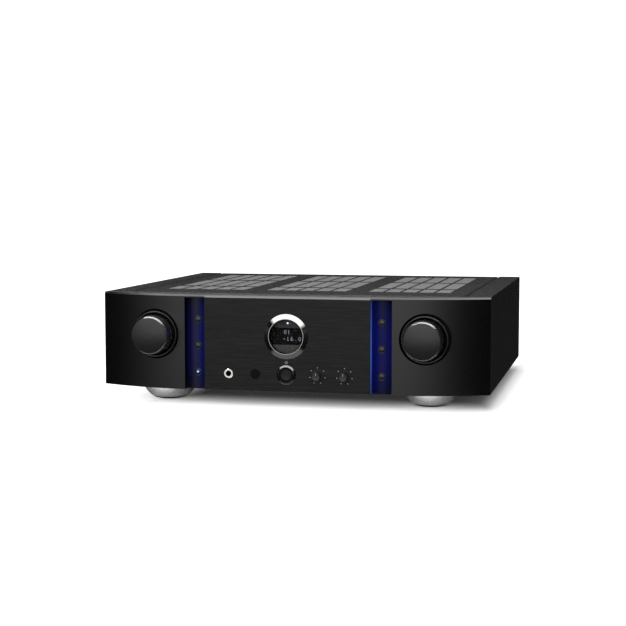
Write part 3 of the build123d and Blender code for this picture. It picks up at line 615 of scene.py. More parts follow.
def add_turned(bm: Draft, centre: Vector, axis: Along, outline: Outline, steps: int = 128,
               corners: int = 0) -> None:
    """Turns an outline about a line along an axis, into a mesh in the making.

    Args:
        bm: the mesh that gains the turned form.
        centre: a point on the line.
        axis: which way the line runs.
        outline: (radius, place along the axis) pairs; open ends lie on the line, others join up.
        steps: facets round the circle.
        corners: sides of the rings that have them, given by a negative radius across their flats.
    """
    rings: list[list[bmesh.types.BMVert]] = []
    for radius, along in outline:
        ring = []
        for i in range(steps if abs(radius) > ON_THE_LINE else 1):
            angle = 2 * math.pi * i / steps
            reach = radius
            if radius < 0:
                half = math.pi / corners
                reach = -radius / math.cos((angle % (2 * half)) - half)
            a, b = reach * math.cos(angle), reach * math.sin(angle)
            point = (centre.x + a, along, centre.z + b) if axis is Along.DEPTH else (
                centre.x + a, centre.y + b, along)
            ring.append(bm.verts.new(point))
        rings.append(ring)
    closed = min(abs(outline[0][0]), abs(outline[-1][0])) > ON_THE_LINE
    for first, second in zip(rings, rings[1:] + rings[:1] if closed else rings[1:]):
        for i in range(steps):
            j = (i + 1) % steps
            corner = [first[i % len(first)], first[j % len(first)],
                      second[j % len(second)], second[i % len(second)]]
            unique = list(dict.fromkeys(corner))
            if len(unique) > 2:
                bm.faces.new(unique)


def turn(name: str, centre: Vector, outline: Outline, steps: int) -> Piece:
    """Makes one piece, turned about a line that runs front to back.

    Args:
        name: the piece's name.
        centre: a point on the line.
        outline: (radius, place along the line) pairs, as in add_turned.
        steps: facets round the circle.

    Returns:
        The new piece.
    """
    bm = bmesh.new()
    add_turned(bm, centre, Along.DEPTH, outline, steps)
    return from_bmesh(name, bm)


def add_block(bm: Draft, low: Vector, high: Vector) -> None:
    """Adds a small square-edged prism, such as a printed mark or a display dot.

    Args:
        bm: the mesh that gains the prism.
        low: its lowest corner.
        high: its highest corner.
    """
    made = bmesh.ops.create_cube(bm, size=1.0)
    for vert in made["verts"]:
        vert.co = Vector(low[i] if vert.co[i] < 0 else high[i] for i in range(3))


def off_line(point: Vector, middle: Vector) -> float:
    """How far a point is from the front-to-back line through another."""
    return math.hypot(point.x - middle.x, point.z - middle.z)


def rounded(outline: Outline, radius: float, steps: int = 3) -> list[tuple[float, float]]:
    """Rounds an open outline's inner corners with small arcs.

    Args:
        outline: the corner points.
        radius: how far from each corner its arc starts.
        steps: points added along each arc.

    Returns:
        The outline with its corners rounded.
    """
    points = [Vector(p) for p in outline]
    out = [tuple(points[0])]
    for before, corner, after in zip(points, points[1:], points[2:]):
        reach = min(radius, (before - corner).length / 2.1, (after - corner).length / 2.1)
        start = corner + (before - corner).normalized() * reach
        end = corner + (after - corner).normalized() * reach
        for i in range(steps + 1):
            t = i / steps
            out.append(tuple(start * (1 - t) ** 2 + corner * 2 * t * (1 - t) + end * t * t))
    out.append(tuple(points[-1]))
    return [(float(p[0]), float(p[1])) for p in out]


def dress(piece: Piece, *materials: Material) -> None:
    """Gives a piece its materials, the first of them all over.

    Args:
        piece: the piece.
        materials: its materials, in the order of their slots.
    """
    piece.data.materials.clear()
    for material in materials:
        piece.data.materials.append(material)


def dress_where(piece: Piece, slot: int, test: Callable[[Vector, Vector], bool]) -> None:
    """Gives some faces of a piece another of its materials.

    Args:
        piece: a piece dressed in two or more materials.
        slot: the index of the material among them.
        test: tells from a face's centre and normal whether it takes that material.
    """
    for polygon in piece.data.polygons:
        if test(polygon.center, polygon.normal):
            polygon.material_index = slot


def seat(piece: Piece, body: str, slot: str, *replaced: str) -> None:
    """Makes a piece ride on a body and hides the CAD nodes it replaces.

    Args:
        piece: the finished piece.
        body: the CAD body it moves with.
        slot: not used.
        replaced: CAD nodes it replaces.
    """
    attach(piece, body)
    if replaced:
        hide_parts(*replaced)
    log.info("%s rides on %s", piece.name, body)


@dataclass(frozen=True)
class Extent:
    """A CAD node's box, read once."""

    low: Vector
    high: Vector

    @classmethod
    def of(cls, node: str) -> Extent:
        """The extent of a node."""
        low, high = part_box(node)
        return cls(low, high)

    @property
    def middle(self) -> Vector:
        """The box's centre."""
        return (self.low + self.high) / 2

    @property
    def radius(self) -> float:
        """Half its width across the amplifier."""
        return (self.high.x - self.low.x) / 2


# --- shared finishes
SHARED_FINISHES: tuple[Coating, ...] = (
    Finish("satin_black", (0.0008, 0.0008, 0.0008), 0.28, 0.0, 0.5, 2600.0, 0.000002, 0.2),
    Finish("cover_paint", (0.012, 0.012, 0.0122), 0.25, 0.0, 0.17, 1500.0, 0.000004, 0.25),
    Finish("knob_black", (0.02, 0.02, 0.0205), 0.3, 0.0, 0.5, 1500.0, 0.000004, 0.1),
    Finish("nut_silver", (0.8, 0.79, 0.76), 0.14, 1.0, 0.5, 900.0, 0.000002, 0.05),
    Finish("gloss_black", (0.003, 0.003, 0.0032), 0.07, 0.0, 0.5, 500.0, 0.000001, 0.1),
    Finish("dark_chrome", (0.075, 0.075, 0.077), 0.1, 1.0, 0.5, 500.0, 0.0000005, 0.05),
    Finish("matte_black", (0.008, 0.008, 0.0082), 0.6, 0.0, 0.3, 1200.0, 0.00002, 0.15),
    Finish("rubber_black", (0.02, 0.02, 0.02), 0.8, 0.0, 0.3, 800.0, 0.00005, 0.2),
    Finish("plated_steel", (0.55, 0.55, 0.53), 0.35, 1.0, 0.5, 300.0, 0.00001, 0.12),
    Finish("board_green", (0.02, 0.12, 0.05), 0.35, 0.0, 0.5, 400.0, 0.00003, 0.25),
    Finish("sink_black", (0.02, 0.02, 0.021), 0.45, 0.3, 0.5, 900.0, 0.00002, 0.15,
           (1.0, 1.0, 0.05)),
    Finish("can_black", (0.018, 0.018, 0.02), 0.4, 0.0, 0.5, 600.0, 0.00002, 0.15),
    Finish("gold", (0.83, 0.62, 0.25), 0.2, 1.0, 0.5, 900.0, 0.000004, 0.05),
    Finish("cap_plastic", (0.03, 0.03, 0.032), 0.15, 0.0, 0.5, 700.0, 0.000005, 0.1, coat=0.5),
    Finish("pocket_black", (0.0012, 0.0012, 0.0012), 0.75, 0.0, 0.15, 1200.0, 0.00001, 0.15),
    Finish("print_white", (0.36, 0.36, 0.36), 0.5, 0.0, 0.4, 1500.0, 0.000002, 0.05),
    BrushedFinish("brushed_black", (0.004, 0.004, 0.0041), 0.3, 0.18),
    PerforatedGrey("grille_grey", (0.085, 0.085, 0.085)),
    SmokedGlass("display_glass", (0.02, 0.02, 0.022)),
)


@dataclass
class Wardrobe:
    """Shared finishes by name, and the CAD nodes that wear them."""

    record: dict
    nodes: dict[str, Piece]
    made: dict[str, Material] = field(default_factory=dict)

    def build(self) -> None:
        """Builds each shared finish once and gives it to the nodes of its slot."""
        for finish in SHARED_FINISHES:
            self.made[finish.name] = finish.build()
        spare = self.made["gloss_black"]
        for entry in self.record["subparts"]:
            material = self.made.get(entry["material_slot"], spare)
            dress(self.nodes[entry["node"]], material)
            log.info("%s is finished in %s", entry["node"], material.name)

    def __getitem__(self, name: str) -> Material:
        """The shared finish of that name."""
        return self.made[name]


# --- front
@dataclass
class FrontPanel:
    """The two curved wings, with black pockets round the large knobs."""

    wardrobe: Wardrobe
    pocket_radius: float = 28.1 * MM

    def dress(self) -> None:
        """Finishes the wings in satin black and the pockets and hidden sides in dull black."""
        panel = self.wardrobe.nodes["front_panel"]
        knobs = [Extent.of(f"{name}_knob").middle for name in ("selector", "volume")]
        strip = Extent.of("light_panel_right")
        dress(panel, self.wardrobe["satin_black"], self.wardrobe["pocket_black"])

        def hidden(centre: Vector, normal: Vector) -> bool:
            """Tells whether a face is inside a pocket or the middle recess, or faces back.

            Args:
                centre: the face's centre.
                normal: the way it faces.

            Returns:
                Whether it is one of them.
            """
            pocket = any(off_line(centre, knob) < self.pocket_radius for knob in knobs)
            between = abs(centre.x) < strip.high.x + 0.5 * MM and centre.y > strip.low.y - MM
            return pocket or (between and normal.y < -0.9) or normal.y > 0.5

        dress_where(panel, 1, hidden)
        bevel = Finish("bevel_satin", (0.075, 0.075, 0.076), 0.3, 1.0, 0.5, 2600.0, 0.000001, 0.1)
        plate = self.wardrobe.nodes["centre_plate"]
        dress(plate, self.wardrobe["brushed_black"], bevel.build())
        dress_where(plate, 1, lambda centre, normal: 0.3 < normal.z < 0.97)
        log.info("front_panel has dull black pockets")


@dataclass
class LitStrips:
    """The two blue strips beside the centre plate with the guides' light painted on them as
    emission, the glowing guides and their buttons.
    """

    wardrobe: Wardrobe
    # Colour of the guide's light painted on the strips.
    glow: Color = (0.012, 0.03, 1.0)
    guide_glow: Color = (0.13, 0.28, 1.0)
    base: Color = (0.002, 0.002, 0.006)
    guide_base: Color = (0.01, 0.02, 0.05)
    guide_light: float = 0.26
    guide_ends: float = 0.6
    ends: Span = (0.65, 1.0)
    ring_reach: float = 0.55 * MM
    stem: float = 1.7 * MM
    head: float = 4.0 * MM
    buttons: tuple[str, ...] = ("display", "tone", "speaker", "mute", "direct", "cartridge")
    lit_button: str = "speaker"

    def build(self) -> None:
        """Dresses strips and guides and builds the buttons."""
        self.strips()
        self.guides()
        for name in self.buttons:
            self.button(name)

    def strips(self) -> None:
        """Gives each strip the guide's light as painted emission, the painted light on the right
        one bluer to its far edge.
        """
        # Painted light: near and far set the painted glow at the guide's edge and at the far edge
        # of each strip.
        for hand, near, far, fall, shine in ((Hand.LEFT, 0.12, 0.018, 0.35, 0.17),
                                             (Hand.RIGHT, 0.078, 0.047, 1.0, 0.1)):
            node = f"light_panel_{hand.word}"
            at = Extent.of(node)
            lit, dark = (at.low.x, at.high.x) if hand is Hand.RIGHT else (at.high.x, at.low.x)
            strip = StripFinish(f"strip_{hand.word}", self.base, self.glow, lit, dark, at.low.z,
                                at.high.z, near, far, fall, *self.ends, shine)
            dress(self.wardrobe.nodes[node], strip.build())
            log.info("%s glows", node)

    def guides(self) -> None:
        """Gives the guides their light, strongest at mid height."""
        at = Extent.of("light_guides")
        guide = StripFinish("guide_acrylic", self.guide_base, self.guide_glow, at.low.x, at.high.x,
                            at.low.z, at.high.z, self.guide_light, self.guide_light, 1.0,
                            self.guide_ends, self.guide_ends, hollow=0.0)
        dress(self.wardrobe.nodes["light_guides"], guide.build())
        log.info("light_guides glow")

    def button(self, name: str) -> None:
        """Builds one domed button and the thin collar round it.

        Args:
            name: the button's name; its body is that name with _key after it.
        """
        at = Extent.of(f"{name}_button")
        strip = Extent.of("light_panel_right" if at.middle.x > 0 else "light_panel_left")
        radius, front = at.radius, at.low.y
        shoulder = front + self.head
        outline = rounded([
            (0.0, front + 0.02 * MM), (radius * 0.6, front + 0.06 * MM),
            (radius - 0.25 * MM, front + 0.2 * MM), (radius, front + 0.6 * MM),
            (radius, shoulder), (self.stem, shoulder), (self.stem, at.high.y), (0.0, at.high.y),
        ], 0.3 * MM)
        button = turn(f"{name}_button_domed", at.middle, outline, 64)
        dress(button, self.wardrobe["gloss_black"])
        seat(button, f"{name}_key", "gloss_black", f"{name}_button")
        if name == self.lit_button:
            self.button_lamp(at.middle, front, f"{name}_key")
        floor, crest = strip.low.y + 0.5 * MM, strip.low.y - self.ring_reach
        collar = turn(f"{name}_collar", at.middle, rounded([
            (radius + 0.35 * MM, floor), (radius + 0.4 * MM, crest), (radius + 0.9 * MM, crest),
            (radius + 1.3 * MM, strip.low.y), (radius + 1.3 * MM, floor)], 0.2 * MM), 64)
        dress(collar, self.wardrobe["dark_chrome"])
        seat(collar, "chassis", "gloss_black")

    def button_lamp(self, middle: Vector, front: float, body: str) -> None:
        """Sets a small lamp in the middle of a button, with a blue halo round its white heart.

        Args:
            middle: the button's middle.
            front: how far forward its face stands.
            body: the button's body.
        """
        lens = turn("button_lamp", middle, [
            (0.0, front - 0.1 * MM), (0.9 * MM, front - 0.05 * MM), (1.5 * MM, front + 0.1 * MM),
            (2.4 * MM, front + 0.3 * MM), (2.4 * MM, front + 1.2 * MM),
            (0.0, front + 1.2 * MM)], 64)
        sheet = MaterialSheet("button_lamp")
        near = sheet.ease(sheet.radius(middle), 0.1 * MM, 2.3 * MM, 1.0, 0.0)
        ramp = sheet.node("ValToRGB")
        ramp.color_ramp.elements[0].color = (0.0, 0.01, 0.12, 1.0)
        ramp.color_ramp.elements[1].color = (0.5, 0.75, 1.0, 1.0)
        ramp.color_ramp.elements.new(0.4).color = (0.005, 0.06, 0.7, 1.0)
        ramp.color_ramp.elements.new(0.78).color = (0.04, 0.22, 1.0, 1.0)
        sheet.join(near, ramp.inputs["Fac"])
        sheet.drive(ramp.outputs["Color"], "Emission Color")
        sheet.drive(sheet.ease(near, 0.0, 1.0, 0.7, 2.4), "Emission Strength")
        sheet.set(Base_Color=(0.01, 0.01, 0.03, 1.0), Roughness=0.2)
        dress(lens, sheet.material)
        seat(lens, body, "gloss_black")


@dataclass
class LargeKnob:
    """A large turned knob in its collar: spun face, fine turned steps, then a polished taper."""

    wardrobe: Wardrobe
    name: str
    face_radius: float = 19.7 * MM
    step: float = 0.35 * MM
    pitch: float = 0.83 * MM
    slant: float = 0.24 * MM
    steps: int = 3
    taper: float = 8.0 * MM
    wall: float = 2.5 * MM
    groove: float = 0.22 * MM
    crown: float = 5.0 * MM
    hub: float = 7.0 * MM
    bore: float = 3.0 * MM
    rounding: float = 0.18 * MM
    dome: float = 0.8 * MM
    swell: float = 2.6

    def build(self) -> None:
        """Builds the knob and its collar."""
        self.knob()
        self.collar()

    def knob(self) -> None:
        """Turns the knob, its face slightly crowned, and finishes face and sides apart."""
        at = Extent.of(f"{self.name}_knob")
        front, back, radius = at.low.y, at.high.y, at.radius
        outline = [(self.face_radius * share, front + self.dome * share * share)
                   for share in (0.0, 0.25, 0.5, 0.75)]
        for row in range(self.steps):
            reach = self.face_radius + row * self.step
            near = front + self.dome + row * self.pitch
            outline += [(reach, near + 0.02 * MM),
                        (reach + self.slant, near + self.pitch - 0.22 * MM),
                        (reach - self.groove, near + self.pitch - 0.12 * MM)]
        inside, hub_end = radius - self.wall, back - 4 * MM
        web, end = front + self.crown, front + self.crown / 2
        outline += [
            (self.face_radius + self.steps * self.step,
             front + self.dome + self.steps * self.pitch),
            (radius, front + self.taper), (radius, back), (inside, back), (inside, web),
            (self.hub, web), (self.hub, hub_end), (self.bore, hub_end), (self.bore, end),
            (0.0, end),
        ]
        knob = turn(f"{self.name}_knob_turned", at.middle, rounded(outline, self.rounding), 256)
        face = SpunFinish(f"{self.name}_face_spun", (0.015, 0.015, 0.0155), 0.24, 0.3, 0.38,
                          at.middle, 0.2, swell=self.swell)
        side = SpunFinish(f"{self.name}_side_turned", (0.26, 0.26, 0.264), 0.1, 0.95, 0.5,
                          at.middle, 0.2, 0.0008, 0.0000005)
        dress(knob, face.build(), side.build())
        dress_where(knob, 1, lambda centre, normal: normal.y > -0.97)
        seat(knob, self.name, "knob_black", f"{self.name}_knob")

    def collar(self) -> None:
        """Turns the collar round the knob, with a bright rounded lip."""
        at = Extent.of(f"{self.name}_bezel")
        outer, inner = at.radius, at.radius - 1.5 * MM
        outline = rounded([
            (outer, at.high.y), (outer, at.low.y + 0.5 * MM), (outer - 0.55 * MM, at.low.y),
            (inner + 0.4 * MM, at.low.y), (inner, at.low.y + 0.4 * MM), (inner, at.high.y),
        ], 0.25 * MM)
        collar = turn(f"{self.name}_collar", at.middle, outline, 256)
        lip = SpunFinish(f"{self.name}_collar_turned", (0.04, 0.04, 0.04), 0.12, 0.6, 0.5,
                         at.middle, 0.3, 0.0008, 0.0000005)
        dress(collar, lip.build())
        seat(collar, "chassis", "gloss_black", f"{self.name}_bezel")


class Glyph(Enum):
    """Numerals and signs of the display, as rows of a five by seven grid of dots."""

    ZERO = ("01110", "10001", "10001", "10001", "10001", "10001", "01110")
    ONE = ("00100", "01100", "00100", "00100", "00100", "00100", "01110")
    SIX = ("01110", "10000", "10000", "11110", "10001", "10001", "01110")
    DASH = ("00000", "00000", "00000", "01111", "00000", "00000", "00000")
    POINT = ("00000", "00000", "00000", "00000", "00000", "00000", "00100")

    def lit(self) -> list[tuple[int, int]]:
        """The row and column of each lit dot, from the top left."""
        return [(row, column) for row, cells in enumerate(self.value)
                for column, cell in enumerate(cells) if cell == "1"]


@dataclass
class Porthole:
    """The round display: polished ring, window, screen with its numerals, and a small lamp."""

    wardrobe: Wardrobe
    band_low: float = -9.6 * MM
    band_high: float = 9.3 * MM
    dot: tuple[float, float] = (0.42 * MM, 0.58 * MM)
    cell: tuple[float, float] = (0.52 * MM, 0.6 * MM)
    lines: tuple[tuple[float, float, float, tuple[Glyph, ...]], ...] = (
        (-3.2 * MM, 6.5 * MM, 4.0 * MM, (Glyph.ZERO, Glyph.ONE)),
        (-4.6 * MM, -1.1 * MM, 4.45 * MM,
         (Glyph.DASH, Glyph.ONE, Glyph.SIX, Glyph.POINT, Glyph.ZERO)),
    )
    bore: float = 18.6 * MM
    seat_radius: float = 20.0 * MM
    sleeve: float = 21.0 * MM
    lip_radius: float = 19.25 * MM
    # How far below the ring's middle the inner lip's painted highlight ends and its painted shade
    # begins.
    lip_drop: float = 6.0 * MM
    lamp_aside: float = 0.6 * MM
    lamp_rise: float = 14.4 * MM
    lamp_radius: float = 0.85 * MM

    def build(self) -> None:
        """Builds the ring, the window, the screen's face, its numerals and the lamp."""
        self.ring()
        self.window()
        self.screen()
        self.numerals()
        self.lamp()

    def ring(self) -> None:
        """Turns the ring: a plain cone up to its crest and a thin inner lip, its lower part a
        lighter metal as painted highlight and its upper part the darker chrome as painted shade.
        """
        at = Extent.of("display_ring")
        front, glass = at.low.y, Extent.of("display_glass").low.y
        plate = Extent.of("centre_plate").low.y
        outline = rounded([
            (self.sleeve, plate), (at.radius, plate), (at.radius, plate - 0.4 * MM),
            (19.6 * MM, front), (19.2 * MM, front), (self.bore, front + 0.5 * MM),
            (self.bore, glass), (self.seat_radius, glass), (self.seat_radius, at.high.y),
            (self.sleeve, at.high.y),
        ], 0.06 * MM, 4)
        ring = turn("porthole_ring", at.middle, outline, 320)
        polish = Finish("ring_polished", (0.5, 0.485, 0.465), 0.045, 1.0, 0.5, 700.0, 0.0000002,
                        0.02)
        # Painted highlight and painted shade: the inner lip is a lighter metal in its lower part
        # and the darker chrome in its upper part.
        lip = Finish("ring_lip", (0.22, 0.215, 0.21), 0.12, 1.0, 0.5, 700.0, 0.0000002, 0.02)
        dress(ring, polish.build(), lip.build(), self.wardrobe["dark_chrome"],
              self.wardrobe["pocket_black"])
        painted_highlight_top = at.middle.z - self.lip_drop
        dress_where(ring, 1, lambda centre, normal: off_line(centre, at.middle) < self.lip_radius)
        dress_where(ring, 2, lambda centre, normal: (
            off_line(centre, at.middle) < self.lip_radius and centre.z >= painted_highlight_top))
        dress_where(ring, 3, lambda centre, normal: (
            off_line(centre, at.middle) < self.bore + 0.02 * MM))
        seat(ring, "chassis", "ring_polished", "display_ring")

    def window(self) -> None:
        """Turns the window, gently crowned, in front of the screen."""
        at = Extent.of("display_glass")
        front = at.low.y
        outline = rounded([
            (0.0, front + 0.02 * MM), (at.radius * 0.6, front + 0.1 * MM),
            (at.radius, front + 0.3 * MM), (at.radius, front + 0.8 * MM), (0.0, front + 0.8 * MM),
        ], 0.2 * MM, 4)
        window = turn("porthole_window", at.middle, outline, 160)
        dress(window, self.wardrobe["display_glass"])
        seat(window, "chassis", "display_glass", "display_glass")

    def screen(self) -> None:
        """Finishes the screen: a black band between two grey segments, the upper one painted darker
        as painted shade.
        """
        at = Extent.of("display_module")
        middle = at.middle.z if at.radius > 18 * MM else Extent.of("display_ring").middle.z
        sheet = MaterialSheet("screen_face")
        height = sheet.axes()["Z"]
        low, high, soft = middle + self.band_low, middle + self.band_high, 0.1 * MM
        lower = sheet.ease(height, low - soft, low + soft, 1.0, 0.0)
        # Painted shade: the upper grey segment is painted at 0.55 of the lower one's grey.
        upper = sheet.ease(height, high - soft, high + soft, 0.0, 0.55)
        grain = sheet.line(sheet.noise(sheet.place(), 900.0), 0.3, 0.7, 0.97, 1.03)
        value = sheet.times(sheet.math("ADD", lower, upper), grain)
        sheet.tint(value, (0.0006, 0.0006, 0.0007), (0.095, 0.092, 0.09), 0.0, 1.0)
        sheet.roughen(grain, 0.5, 0.55)
        sheet.set(Specular_IOR_Level=0.03)
        dress(self.wardrobe.nodes["display_module"], sheet.material)
        log.info("display_module has its black band")

    def numerals(self) -> None:
        """Sets the lit dots of each numeral just behind the window."""
        at = Extent.of("display_ring").middle
        screen = Extent.of("display_module").low.y
        bm = bmesh.new()
        for left, top, pitch, glyphs in self.lines:
            for place, glyph in enumerate(glyphs):
                for row, column in glyph.lit():
                    x = at.x + left + place * pitch + column * self.cell[0]
                    z = at.z + top - row * self.cell[1]
                    half = Vector((self.dot[0] / 2, 0.0, self.dot[1] / 2))
                    add_block(bm, Vector((x, screen - 0.12 * MM, z)) - half,
                              Vector((x, screen - 0.02 * MM, z)) + half)
        numerals = from_bmesh("display_numerals", bm, smooth=False)
        dress(numerals, LampFinish("numeral_glow", (0.85, 0.88, 1.0), 0.42).build())
        seat(numerals, "chassis", "matte_black")

    def lamp(self) -> None:
        """Turns the small domed lamp above the numerals."""
        at = Extent.of("display_ring").middle
        screen = Extent.of("display_module").low.y
        radius = self.lamp_radius
        outline = [(0.0, screen - 0.5 * MM), (radius * 0.6, screen - 0.4 * MM),
                   (radius, screen - 0.05 * MM), (0.0, screen - 0.02 * MM)]
        centre = at + Vector((self.lamp_aside, 0.0, self.lamp_rise))
        lamp = turn("display_lamp", centre, outline, 32)
        dress(lamp, LampFinish("lamp_glow", (0.55, 0.78, 1.0), 3.0).build())
        seat(lamp, "chassis", "gloss_black")


@dataclass
class SmallControls:
    """The row on the centre plate: phones socket, window, power button and tone knobs."""

    wardrobe: Wardrobe
    phones_bore: float = 3.3 * MM
    power_bore: float = 6.45 * MM
    sleeve: float = 8.0 * MM
    stem: float = 3.0 * MM
    button_head: float = 9.1 * MM
    knob_head: float = 9.0 * MM
    dot_radius: float = 0.5 * MM
    dot_circle: float = 8.7 * MM
    dots: int = 7
    print_height: float = 0.03 * MM
    symbol_radius: float = 1.35 * MM
    symbol_rise: float = 13.6 * MM
    symbol_line: float = 0.42 * MM
    symbol_mouth: float = 40.0
    symbol_steps: int = 32

    def build(self) -> None:
        """Builds every control of the row and the marks printed beside them."""
        self.phones()
        self.power_ring()
        self.power_button()
        for name in ("bass", "treble"):
            self.tone_knob(name)
        self.dot_rings()
        self.symbol()

    def phones(self) -> None:
        """Polishes the socket's nut and blackens its bore."""
        socket = self.wardrobe.nodes["phones_jack"]
        at = Extent.of("phones_jack")
        dress(socket, self.wardrobe["nut_silver"], self.wardrobe["pocket_black"])
        dress_where(socket, 1, lambda centre, normal: (
            centre.y > at.low.y + 2 * MM
            or (off_line(centre, at.middle) < self.phones_bore and abs(normal.y) < 0.5)))
        dress(self.wardrobe.nodes["ir_window"], self.wardrobe["pocket_black"])
        log.info("phones_jack has a bright nut round a black bore")

    def power_ring(self) -> None:
        """Turns the glossy ring round the power button, with a full rounded crest."""
        at = Extent.of("power_bezel")
        plate = Extent.of("centre_plate").low.y
        inner = self.power_bore
        outline = rounded([
            (self.sleeve, plate), (at.radius, plate), (at.radius - 0.1 * MM, at.low.y + 0.85 * MM),
            (at.radius - 2.1 * MM, at.low.y), (inner, at.low.y + 0.3 * MM),
            (inner, plate - 0.5 * MM), (inner, at.high.y), (self.sleeve, at.high.y),
        ], 0.12 * MM, 4)
        ring = turn("power_ring", at.middle, outline, 160)
        chrome = Finish("power_chrome", (0.2, 0.2, 0.204), 0.08, 1.0, 0.5, 500.0, 0.0000003, 0.05)
        dress(ring, chrome.build(), self.wardrobe["pocket_black"])
        dress_where(ring, 1, lambda centre, normal: (
            off_line(centre, at.middle) < at.radius - 2.12 * MM))
        seat(ring, "chassis", "gloss_black", "power_bezel")

    def power_button(self) -> None:
        """Turns the power button with its dished, spun face."""
        at = Extent.of("power_button")
        front, radius = at.low.y, at.radius
        back = front + self.button_head
        outline = rounded([
            (0.0, front + 0.3 * MM), (radius * 0.5, front + 0.24 * MM), (radius - 0.55 * MM, front),
            (radius - 0.25 * MM, front), (radius, front + 0.35 * MM), (radius, back),
            (self.stem, back), (self.stem, at.high.y), (0.0, at.high.y),
        ], 0.2 * MM)
        button = turn("power_button_spun", at.middle, outline, 128)
        spun = SpunFinish("power_spun", (0.012, 0.012, 0.0122), 0.35, 0.2, 0.16, at.middle, 0.6)
        dress(button, spun.build())
        seat(button, "power", "knob_black", "power_button")

    def tone_knob(self, name: str) -> None:
        """Turns one small tone knob and marks its pointer.

        Args:
            name: bass or treble.
        """
        at = Extent.of(f"{name}_knob")
        front, radius = at.low.y, at.radius
        back = front + self.knob_head
        outline = rounded([
            (0.0, front + 0.25 * MM), (radius - 1.35 * MM, front + 0.12 * MM),
            (radius - 0.9 * MM, front), (radius - 0.4 * MM, front + 0.5 * MM), (radius, back),
            (self.stem, back), (self.stem, at.high.y), (0.0, at.high.y),
        ], 0.2 * MM)
        knob = turn(f"{name}_knob_turned", at.middle, outline, 128)
        spun = SpunFinish(f"{name}_spun", (0.025, 0.025, 0.025), 0.2, 0.2, 0.3, at.middle, 0.5)
        dress(knob, spun.build())
        seat(knob, name, "knob_black", f"{name}_knob")
        bm = bmesh.new()
        middle = at.middle
        add_block(bm, Vector((middle.x - 0.25 * MM, front + 0.02 * MM, middle.z + 1.2 * MM)),
                  Vector((middle.x + 0.25 * MM, front + 0.3 * MM, middle.z + radius - 1.1 * MM)))
        pointer = from_bmesh(f"{name}_pointer", bm, smooth=False)
        dress(pointer, self.wardrobe["print_white"])
        seat(pointer, name, "knob_black")

    def dot_rings(self) -> None:
        """Prints the ring of dots round each tone knob."""
        plate = Extent.of("centre_plate").low.y
        bm = bmesh.new()
        front, radius = plate - self.print_height, self.dot_radius
        outline = [(0.0, front), (radius, front), (radius, plate), (0.0, plate)]
        for name in ("bass", "treble"):
            middle = Extent.of(f"{name}_knob").middle
            for i in range(self.dots):
                angle = 2 * math.pi * i / self.dots
                at = middle + Vector((math.sin(angle), 0.0, math.cos(angle))) * self.dot_circle
                add_turned(bm, at, Along.DEPTH, outline, 16)
        dots = from_bmesh("tone_dots", bm, smooth=False)
        dress(dots, self.wardrobe["print_white"])
        seat(dots, "chassis", "brushed_black")

    def symbol(self) -> None:
        """Prints the open circle and bar above the power button."""
        plate = Extent.of("centre_plate").low.y
        middle = Extent.of("power_button").middle
        centre = Vector((middle.x, 0.0, middle.z + self.symbol_rise))
        half = self.symbol_line / 2
        inner, outer = self.symbol_radius - half, self.symbol_radius + half
        front = plate - self.print_height
        bm = bmesh.new()
        last: list[bmesh.types.BMVert] = []
        steps, mouth = self.symbol_steps, self.symbol_mouth
        for i in range(steps + 1):
            angle = math.radians(mouth + (360 - 2 * mouth) * i / steps)
            across, up = math.sin(angle), math.cos(angle)
            ring = [bm.verts.new((centre.x + r * across, y, centre.z + r * up))
                    for r, y in ((inner, front), (outer, front), (outer, plate), (inner, plate))]
            if last:
                for j in range(4):
                    bm.faces.new([last[j], last[(j + 1) % 4], ring[(j + 1) % 4], ring[j]])
            else:
                bm.faces.new(ring)
            last = ring
        bm.faces.new(last)
        add_block(bm, Vector((centre.x - half, front, centre.z)),
                  Vector((centre.x + half, plate, centre.z + outer)))
        symbol = from_bmesh("power_symbol", bm, smooth=False)
        dress(symbol, self.wardrobe["print_white"])
        seat(symbol, "chassis", "brushed_black")


